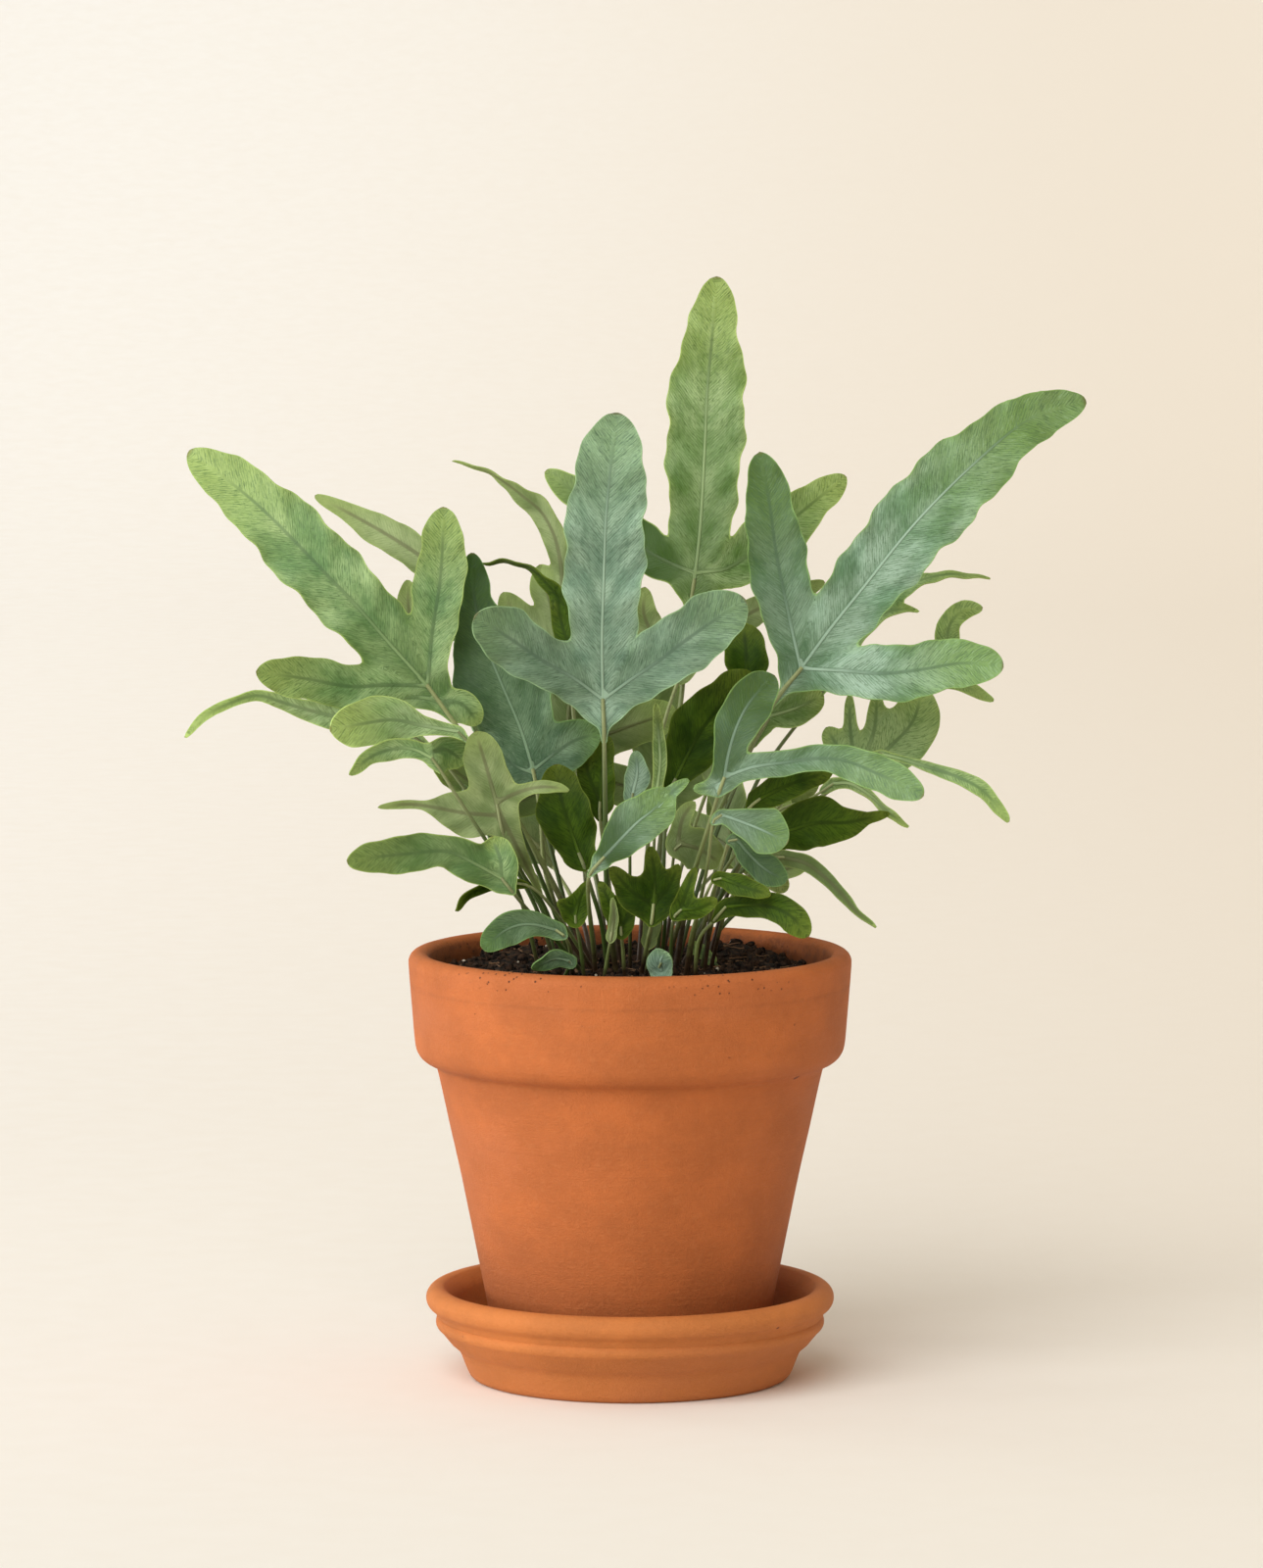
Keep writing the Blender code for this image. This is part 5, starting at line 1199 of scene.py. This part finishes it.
def pot_profile():
    """The pot: a collar with rounded edges on a body that narrows downwards, hollow, with a drainage hole."""
    lip = [(70.3, 148.2), (71.5, 150.0), (73.7, POT_TOP_Z), (75.8, 150.1), (77.2, 148.5),
           (POT_RIM_RADIUS, 145.6)]
    collar = [(76.3, 130.0), (75.3, 118.5), (74.2, 114.9), (72.2, 112.7), (68.6, POT_COLLAR_FOOT_Z)]
    body = [(67.2, 107.6), (62.9, 88.0), (58.5, 68.0), (50.0, 25.0), (47.2, POT_BASE_Z + 1.2)]
    floor_z = POT_BASE_Z + POT_FLOOR
    hole = [(POT_FOOT_RADIUS, POT_BASE_Z), (DRAIN_RADIUS, POT_BASE_Z), (DRAIN_RADIUS, floor_z),
            (40.0, floor_z)]
    inside = [(42.4, 17.0), (51.2, 68.0), (60.0, 108.0), (67.6, 122.0), (69.6, 138.0), (70.3, 148.2)]
    return flowing(lip + collar + body, 1.0) + hole + flowing(inside, 3.0)[:-1]


def soil_height(radius):
    """The soil's surface, a little higher in the middle."""
    return SOIL_EDGE_Z + SOIL_MOUND * (1 - (radius / SOIL_RADIUS) ** 2)


def heaps(points):
    """How much higher the soil is heaped here and there along the wall."""
    rise = np.zeros(len(points))
    for x, y, width, height in SOIL_HEAPS:
        rise += height * np.exp(-((points[:, 0] - x) ** 2 + (points[:, 1] - y) ** 2) / width ** 2)
    return rise


def lumps(points, draw, waves, height):
    """A lumpy height for each of some points, from waves of random direction and length."""
    total = np.zeros(len(points))
    longest = LUMP_LENGTHS[1]
    for _ in range(waves):
        angle, length = draw.uniform(0, math.tau), draw.uniform(*LUMP_LENGTHS)
        phase = draw.uniform(0, math.tau)
        heading = np.array([math.cos(angle), math.sin(angle)])
        total += (length / longest) * np.sin(points @ heading * math.tau / length + phase)
    return height * total / math.sqrt(waves)


def soil_bed(draw):
    """The soil's body: a lumpy top on a fine grid of rings, and a plain side and underside in the pot."""
    radii = SOIL_RADIUS * np.linspace(0.02, 1, SOIL_RINGS)
    angles = np.arange(SOIL_SECTORS) * math.tau / SOIL_SECTORS
    plan = np.array([(r * math.cos(a), r * math.sin(a)) for r in radii for a in angles])
    rise = soil_height(np.linalg.norm(plan, axis=1)) + heaps(plan)
    rise += lumps(plan, draw, LUMP_WAVES, LUMP_HEIGHT)
    rise += np.array([draw.gauss(0, SOIL_GRAIN) for _ in plan])
    top = np.column_stack([plan, rise])
    side = [(67.1, 122.2), (59.6, 108.2), (50.8, 68.0), (42.0, 17.2), (39.6, 14.6)]
    below = [(r * math.cos(a), r * math.sin(a), z) for r, z in side for a in angles]
    middle = [(0, 0, soil_height(0)), (0, 0, side[-1][1])]
    points = np.vstack([top, below, middle])
    rows = SOIL_RINGS + len(side) - 1
    last = rows * SOIL_SECTORS
    faces = [[here, here + SOIL_SECTORS, there + SOIL_SECTORS, there]
             for here, there in neighbours(rows, SOIL_SECTORS)]
    for here, there in neighbours(1, SOIL_SECTORS):
        faces.append([len(points) - 2, here, there])
        faces.append([len(points) - 1, last + there, last + here])
    return plain_part(points, faces, 0)


def plain_part(points, faces, slot):
    """A part that needs no UV pairs of its own."""
    empty = np.zeros((len(points), 2))
    return Part(np.array(points, float), faces, slot, empty, empty, empty, empty)


def crumb(draw, centre, size, rough, detail, slot):
    """An irregular lump at a place, from a sphere of triangles with its points pushed in and out."""
    edit = bmesh.new()
    bmesh.ops.create_icosphere(edit, subdivisions=detail, radius=1.0)
    turn = draw.uniform(0, math.tau)
    spin = Matrix.Rotation(turn, 3, Vector([draw.gauss(0, 1) for _ in range(3)]).normalized())
    stretch = [draw.uniform(*CRUMB_STRETCH) for _ in range(3)]
    points = []
    for vertex in edit.verts:
        place = Vector([part * factor for part, factor in zip(vertex.co, stretch)])
        points.append(Vector(centre) + spin @ (place * draw.uniform(1 - rough, 1 + rough)) * size)
    faces = [[vertex.index for vertex in face.verts] for face in edit.faces]
    edit.free()
    return plain_part(points, faces, slot)


def rod(points, radii, sides, slot, layers):
    """A bar through points with its radius at each, closed at both ends, with UV pairs for each point."""
    points = np.array(points, float)
    tangents = unit(np.gradient(points, axis=0))
    aside = unit(np.cross(tangents, ODD_DIRECTION))
    above = np.cross(tangents, aside)
    angles = np.arange(sides) * math.tau / sides
    ring = np.cos(angles)[None, :, None] * aside[:, None] + np.sin(angles)[None, :, None] * above[:, None]
    skin = (points[:, None] + ring * np.array(radii)[:, None, None]).reshape(-1, 3)
    faces = [[here, there, there + sides, here + sides] for here, there in neighbours(len(points) - 1, sides)]
    faces.append(list(range(sides))[::-1])
    faces.append([(len(points) - 1) * sides + k for k in range(sides)])
    return Part(skin, faces, slot, *(np.repeat(np.array(layer, float), sides, axis=0) for layer in layers))


def strewn(distance, angle, above):
    """A place a little above the soil."""
    flat = np.array([[distance * math.cos(angle), distance * math.sin(angle)]])
    return np.array([*flat[0], soil_height(distance) + heaps(flat)[0] + above])


def soil_bits(draw, settings):
    """Crumbs, perlite and fibres strewn on the soil, denser against the wall than under the stipes."""
    parts = []
    for _ in range(settings.crumbs):
        distance = CRUMB_REACH * math.sqrt(draw.uniform(0, 1))
        angle = draw.uniform(0, math.tau)
        size = 0.5 + 1.5 * draw.random() ** 3
        place = strewn(min(distance, WALL_REACH - 1.3 * size), angle, draw.uniform(0.1, 0.6) * size)
        parts.append(crumb(draw, place, size, 0.3, 2 if size > 1.0 else 1, 0))
    parts.append(crumb(draw, strewn(*PALE_CRUMB), PALE_CRUMB_SIZE, 0.2, 2, 1))
    for _ in range(PERLITE_COUNT):
        size = draw.uniform(0.4, 0.9)
        place = strewn(draw.uniform(24, 65), draw.uniform(0, math.tau), 0.7)
        parts.append(crumb(draw, place, size, 0.14, 2, 1))
    for _ in range(FIBRE_COUNT):
        start = strewn(draw.uniform(8, 62), draw.uniform(0, math.tau), 0.6)
        heading = draw.uniform(0, math.tau)
        curl, length = draw.uniform(-1.6, 1.6), draw.uniform(3, 9)
        line = [start]
        for step in range(FIBRE_STEPS):
            turn = heading + curl * step / FIBRE_STEPS
            way = np.array([math.cos(turn), math.sin(turn), draw.uniform(-0.25, 0.3)])
            line.append(line[-1] + length / FIBRE_STEPS * way)
        empty = [(0, 0)] * len(line)
        parts.append(rod(line, np.linspace(0.3, 0.12, len(line)), 4, 2, [empty] * 4))
    return parts


def sheet_part(frond, lobes, chance, thickness):
    """The blade: its outline filled with triangles that meet along the midribs, bent, with an upper side, an
    underside and a rim between them."""
    loop = evenly(outline(lobes), MARGIN_SPACING)
    ribs = []
    for _, guide in lobes:
        line = guide.line[:int(RIB_END * len(guide.line)) + 1]
        ribs.append(line[field(line, lobes)[0] < -RIB_CLEARANCE * MARGIN_SPACING])
    flat = [*loop]
    edges = [(k, (k + 1) % len(loop)) for k in range(len(loop))]
    for rib in ribs:
        edges += [(len(flat) + k, len(flat) + k + 1) for k in range(len(rib) - 1)]
        flat += [*rib]
    flat += [*filling(loop, lobes)]
    flat, _, faces, *_ = delaunay_2d_cdt([Vector(point) for point in flat], edges, [], 1, POINT_NEARNESS)
    flat = np.array(flat)
    faces = np.array(faces)
    middle = bent(flat, lobes, frond)
    layers = layers_at(flat, lobes, chance)
    corners = middle[faces]
    facing = np.cross(corners[:, 1] - corners[:, 0], corners[:, 2] - corners[:, 0])
    normals = np.zeros_like(middle)
    for corner in range(3):
        np.add.at(normals, faces[:, corner], facing)
    normals /= np.linalg.norm(normals, axis=1)[:, None] + 1e-12
    count = len(flat)
    points = np.vstack([middle + normals * thickness / 2, middle - normals * thickness / 2])
    upper = faces.tolist()
    sides = {pair: True for a, b, c in upper for pair in ((a, b), (b, c), (c, a))}
    rim = [[a, b, b + count, a + count][::-1] for a, b in sides if (b, a) not in sides]
    under = (faces[:, ::-1] + count).tolist()
    slots = [0] * len(upper) + [1] * len(under) + [0] * len(rim)
    return Part(points, upper + under + rim, slots, *(np.vstack([layer, layer]) for layer in layers))


def stipe_path(frond, lobes):
    """The stipe's way: upright out of the soil, along its points, and on inside the blade's first wedge."""
    x, y = frond.root
    ground = soil_height(math.hypot(x, y))
    way = np.array(frond.stipe, float)
    if frond.azimuth is None:
        lift = np.clip((way[:, 1] - ground) / (frond.rachis[0][1] - ground), 0, 1)
        depth = y + (frond.depth - y) * lift ** STIPE_CURL
    else:
        depth = way[:, 2]
    knots = np.vstack([[x, y, ground + STIPE_FOOT], placed(frond, way[:, 0], way[:, 1], depth),
                       bent(np.array(frond.rachis, float), lobes, frond)])
    passed = travelled(knots)
    count = int(passed[-1] / STIPE_SPACING) + 4
    path = smooth_line(np.column_stack([passed, np.zeros(len(knots)), knots]), count)[:, 2:]
    return np.vstack([[x, y, ground - STIPE_DEPTH], path])


def bar_layers(along, share, chance, shade, side):
    """The UV pairs of a stipe or a midrib, which has no net of veins and no margin."""
    zero = np.zeros(len(share))
    pairs = ((along, zero), (zero, zero + NO_MARGIN), (share, zero + chance), (zero + shade, zero + side))
    return [np.column_stack(pair) for pair in pairs]


def rib_part(frond, lobes, number, chance, thickness):
    """The midrib of one lobe: a bar that tapers to its tip, sunk in the blade and standing out below it."""
    lobe, guide = lobes[number]
    line = guide.line[:int(RIB_END * len(guide.line))]
    middle = bent(line, lobes, frond)
    right = bent(line + [RIB_PROBE, 0], lobes, frond) - middle
    above = bent(line + [0, RIB_PROBE], lobes, frond) - middle
    normal = unit(np.cross(right, above))
    share = np.linspace(0, 1, len(line))
    start = frond.radius * (1 - STIPE_TAPER) * (1.0 if number == 1 else SIDE_RIB)
    radii = start * (1 - share) ** RIB_TAPER + RIB_TIP
    raised = thickness * (RIB_RAISED - RIB_SINKING * share)
    sunk = middle - normal * (radii - raised)[:, None]
    layers = bar_layers(share * guide.length, share, chance, spread(lobe.shade, share), number > 1)
    bar = rod(sunk, radii, RIB_SIDES, 1, layers)
    slots = []
    for face in bar.faces:
        rows = [k // RIB_SIDES for k in face]
        height = ((bar.points[face] - middle[rows]) * normal[rows]).sum(1).mean()
        slots.append(0 if height > RIB_UPPER * thickness else 1)
    return bar._replace(slot=slots)


def stipe_part(frond, lobes, chance):
    """The stipe, from below the soil's surface to the fork of the blade."""
    path = stipe_path(frond, lobes)
    share = np.linspace(0, 1, len(path))
    radii = STIPE_SLIMNESS * frond.radius * (1 - STIPE_TAPER * share ** 2)
    layers = bar_layers(share * len(path) * STIPE_SPACING, share, chance, 0, 0)
    return rod(path, radii, STIPE_SIDES, 2, layers)


def add_frond(number, frond, materials, settings):
    """One frond: stipe, midribs and blade in one piece that replaces its node."""
    chance = random.Random(SEED_STEP * number + FIRST_SEED).random()
    lobes = frond_lobes(frond)
    thickness = settings.thickness / MM
    parts = [stipe_part(frond, lobes, chance), sheet_part(frond, lobes, chance, thickness)]
    parts += [rib_part(frond, lobes, k, chance, thickness) for k in range(1, len(lobes))]
    sides = [materials[frond.hue, False], materials[frond.hue, True]]
    if frond.hue == "olive":
        sides.reverse()
    obj = add_piece(frond.name.replace("frond", "fern"), parts, sides + [materials["stipe"]])
    settle(obj, frond.name, SLOTS.get(frond.hue, frond.hue) + "_leaf")
    return obj


class ClaySettings(bpy.types.PropertyGroup):
    """The clay of the pot and the saucer."""

    pot: FloatVectorProperty(name="Pot", description="Colour of the pot's clay", subtype="COLOR", size=4,
                             min=0, max=1, default=tone("pot clay"))
    saucer: FloatVectorProperty(name="Saucer", description="Colour of the saucer's clay", subtype="COLOR",
                                size=4, min=0, max=1, default=tone("saucer clay"))
    turning: FloatProperty(name="Turning lines", description="How deep the lines of the wheel are", min=0,
                           max=3, default=0.5)


class SoilSettings(bpy.types.PropertyGroup):
    """The potting mix."""

    soil: FloatVectorProperty(name="Soil", description="Colour of the moist mix", subtype="COLOR", size=4,
                              min=0, max=1, default=tone("soil"))
    crumbs: IntProperty(name="Crumbs", description="How many crumbs lie on the mix", min=0, max=2400,
                        default=1300)
    seed: IntProperty(name="Seed", description="Which strewing of the crumbs", default=5)


class LeafSettings(bpy.types.PropertyGroup):
    """The blades of the fronds."""

    thickness: FloatProperty(name="Thickness", description="Thickness of a blade", subtype="DISTANCE",
                             unit="LENGTH", min=0.0001, max=0.002, default=0.00042)
    vein_depth: FloatProperty(name="Veins", description="How dark the fine veins are", subtype="FACTOR",
                              min=0, max=1, default=0.76)
    glow: FloatProperty(name="Glow", description="How much light goes through a blade", subtype="FACTOR",
                        min=0, max=1, default=0.3)


class StageSettings(bpy.types.PropertyGroup):
    """The studio round the plant."""

    backdrop: FloatVectorProperty(name="Backdrop", description="Colour of the floor and the backdrop",
                                  subtype="COLOR", size=4, min=0, max=1, default=tone("paper"))
    key: FloatProperty(name="Key light", description="Strength of the broad light at the left", min=0,
                       default=2.74)
    side: FloatProperty(name="Side light", description="Power of the low light from the left",
                        subtype="POWER", unit="POWER", min=0, default=174.0)
    top: FloatProperty(name="Top light", description="Strength of the soft light from above", min=0,
                       default=0.45)
    fill: FloatProperty(name="Fill light", description="Power of the light at the right", subtype="POWER",
                        unit="POWER", min=0, default=1.6)
    floor: FloatProperty(name="Floor light", description="Power of the light over the floor behind",
                         subtype="POWER", unit="POWER", min=0, default=10.0)
    air: FloatProperty(name="Air", description="Strength of the light from all round", min=0, default=0.375)


class FernSettings(bpy.types.PropertyGroup):
    """Everything that a user may change."""

    clay: PointerProperty(type=ClaySettings)
    soil: PointerProperty(type=SoilSettings)
    leaf: PointerProperty(type=LeafSettings)
    stage: PointerProperty(type=StageSettings)


class FERN_OT_saucer(bpy.types.Operator):
    """Add the turned clay saucer."""

    bl_idname = "fern.saucer"
    bl_label = "Saucer"

    def execute(self, context):
        obj = turned_piece("clay_saucer", saucer_profile(), TURN_STEPS)
        settings = context.scene.fern.clay
        obj.data.materials.append(clay_material("fern saucer clay", settings.saucer, SAUCER_CHIPS, settings))
        settle(obj, "saucer", "saucer_clay")
        return {"FINISHED"}


class FERN_OT_pot(bpy.types.Operator):
    """Add the turned clay pot."""

    bl_idname = "fern.pot"
    bl_label = "Pot"

    def execute(self, context):
        obj = turned_piece("clay_pot", pot_profile(), TURN_STEPS)
        settings = context.scene.fern.clay
        obj.data.materials.append(clay_material("fern pot clay", settings.pot, POT_CHIPS, settings))
        settle(obj, "pot", "pot_clay")
        return {"FINISHED"}


class FERN_OT_soil(bpy.types.Operator):
    """Add the potting mix with its crumbs, perlite and fibres."""

    bl_idname = "fern.soil"
    bl_label = "Soil"

    def execute(self, context):
        settings = context.scene.fern.soil
        draw = random.Random(settings.seed)
        materials = [soil_material(settings), bit_material("perlite"), bit_material("fibre")]
        obj = add_piece("potting_soil", [soil_bed(draw)] + soil_bits(draw, settings), materials)
        settle(obj, "soil", "potting_soil")
        return {"FINISHED"}


class FERN_OT_fronds(bpy.types.Operator):
    """Add every frond of the fern."""

    bl_idname = "fern.fronds"
    bl_label = "Fronds"

    def execute(self, context):
        settings = context.scene.fern.leaf
        materials = {(hue, underside): leaf_material(hue, underside, settings)
                     for hue in HUES for underside in (False, True)}
        materials["stipe"] = stipe_material()
        for number, frond in enumerate(all_fronds()):
            add_frond(number, frond, materials, settings)
        return {"FINISHED"}


class FERN_OT_stage(bpy.types.Operator):
    """Add the floor and backdrop, the lights and the camera."""

    bl_idname = "fern.stage"
    bl_label = "Studio"

    def execute(self, context):
        add_backdrop(context.scene.fern.stage)
        add_lights(context.scene, context.scene.fern.stage)
        add_camera(context.scene)
        return {"FINISHED"}


def add_backdrop(settings):
    """A floor that curves up into a wall all round, so that every view has the same plain ground. Its paper
    has painted shade at the right and on the wall, and painted light in front.
    """
    wall = arc((WALL_START, WALL_BEND), WALL_BEND, 270, WALL_END, 18)
    obj = turned_piece("studio_floor", [(0, 0), (FLOOR_RADIUS, 0)] + wall, FLOOR_STEPS)
    shader = Shader("studio paper")
    spot = shader.spot()
    across, away = shader.axis(spot, "X"), shader.axis(spot, "Y")
    paper = tuple(settings.backdrop)
    paper_shade_and_mottle = tuple(part * factor for part, factor in zip(paper, PAPER_SHADE_AND_MOTTLE))
    colour = shader.coated(
        paper,
        # painted shade: the paper turns darker and warmer towards the right
        (across.step(*PAINTED_SHADE_SIDE), paper_shade_and_mottle),
        # the same darker, warmer tone also mottles the paper at random
        (shader.noise(spot, 60.0, detail=2.0) * 0.3, paper_shade_and_mottle),
        # painted shade: the paper is darkened on the far wall
        (away.step(*PAINTED_SHADE_WALL) * 0.22, dimmed(paper, 0.5)),
        # painted light: the paper in front is made paler
        (away.step(*PAINTED_LIGHT_FRONT) * 0.2, tone("paper with painted light")))
    surface = shader.principled({"Base Color": colour, "Roughness": 0.95, "Specular IOR Level": 0.1})
    obj.data.materials.append(shader.finish(surface))


def add_lights(scene, settings):
    """Broad soft lights from the left and from above, and lamps at the left, at the right and behind."""
    lamps = []
    for name, *view in SUNS:
        turn, rise, width = (math.radians(angle) for angle in view)
        place = (-math.sin(turn) * math.cos(rise), -math.cos(turn) * math.cos(rise), AIM[2] + math.sin(rise))
        lamps.append((name, "SUN", place, AIM, SUN_COLOUR, {"angle": width}))
    for name, kind, place, target, colour, shape in lamps + LAMPS:
        light = bpy.data.lights.new(name + " light", kind)
        light.energy = getattr(settings, name)
        light.color = colour
        for key, value in shape.items():
            setattr(light, key, value)
        obj = linked(light.name, light)
        obj.location = place
        obj.rotation_euler = (Vector(target) - Vector(place)).to_track_quat("-Z", "Y").to_euler()
    world = bpy.data.worlds.new("studio air")
    world.use_nodes = True
    air = world.node_tree.nodes["Background"]
    air.inputs["Color"].default_value = AIR_COLOUR
    air.inputs["Strength"].default_value = settings.air
    scene.world = world


def add_camera(scene):
    """The camera at the photograph's place."""
    camera = bpy.data.cameras.new("camera")
    camera.lens = CAMERA_FOCUS * camera.sensor_width / PHOTO_HEIGHT
    camera.shift_x = AXIS_OFF_CENTRE / PHOTO_HEIGHT
    obj = linked("camera", camera)
    obj.location = (0, -EYE_DISTANCE * MM, EYE_HEIGHT * MM)
    obj.rotation_euler = (math.radians(90 - CAMERA_TILT), 0, 0)
    scene.camera = obj


class FERN_PT_panel(bpy.types.Panel):
    """The pieces and their settings in the sidebar."""

    bl_label = "Blue Star Fern"
    bl_idname = "FERN_PT_panel"
    bl_space_type = "VIEW_3D"
    bl_region_type = "UI"
    bl_category = "Fern"

    def draw(self, context):
        settings = context.scene.fern
        for title, group, operators in (
                ("Clay", settings.clay, ("fern.saucer", "fern.pot")), ("Soil", settings.soil, ("fern.soil",)),
                ("Leaves", settings.leaf, ("fern.fronds",)), ("Studio", settings.stage, ("fern.stage",))):
            box = self.layout.box()
            box.label(text=title)
            for name in group.bl_rna.properties.keys():
                if name not in ("rna_type", "name"):
                    box.prop(group, name)
            for operator in operators:
                box.operator(operator)


CLASSES = (ClaySettings, SoilSettings, LeafSettings, StageSettings, FernSettings, FERN_OT_saucer, FERN_OT_pot,
           FERN_OT_soil, FERN_OT_fronds, FERN_OT_stage, FERN_PT_panel)


def register():
    """Make the settings, the operators and the panel known."""
    for each in CLASSES:
        bpy.utils.register_class(each)
    bpy.types.Scene.fern = PointerProperty(type=FernSettings)


def unregister():
    """Take them away again."""
    del bpy.types.Scene.fern
    for each in reversed(CLASSES):
        bpy.utils.unregister_class(each)


def main():
    """Make every piece and the studio."""
    register()
    bpy.context.scene.view_settings.view_transform = "Standard"
    bpy.ops.fern.saucer()
    bpy.ops.fern.pot()
    bpy.ops.fern.soil()
    bpy.ops.fern.fronds()
    bpy.ops.fern.stage()


if __name__ == "__main__":
    main()
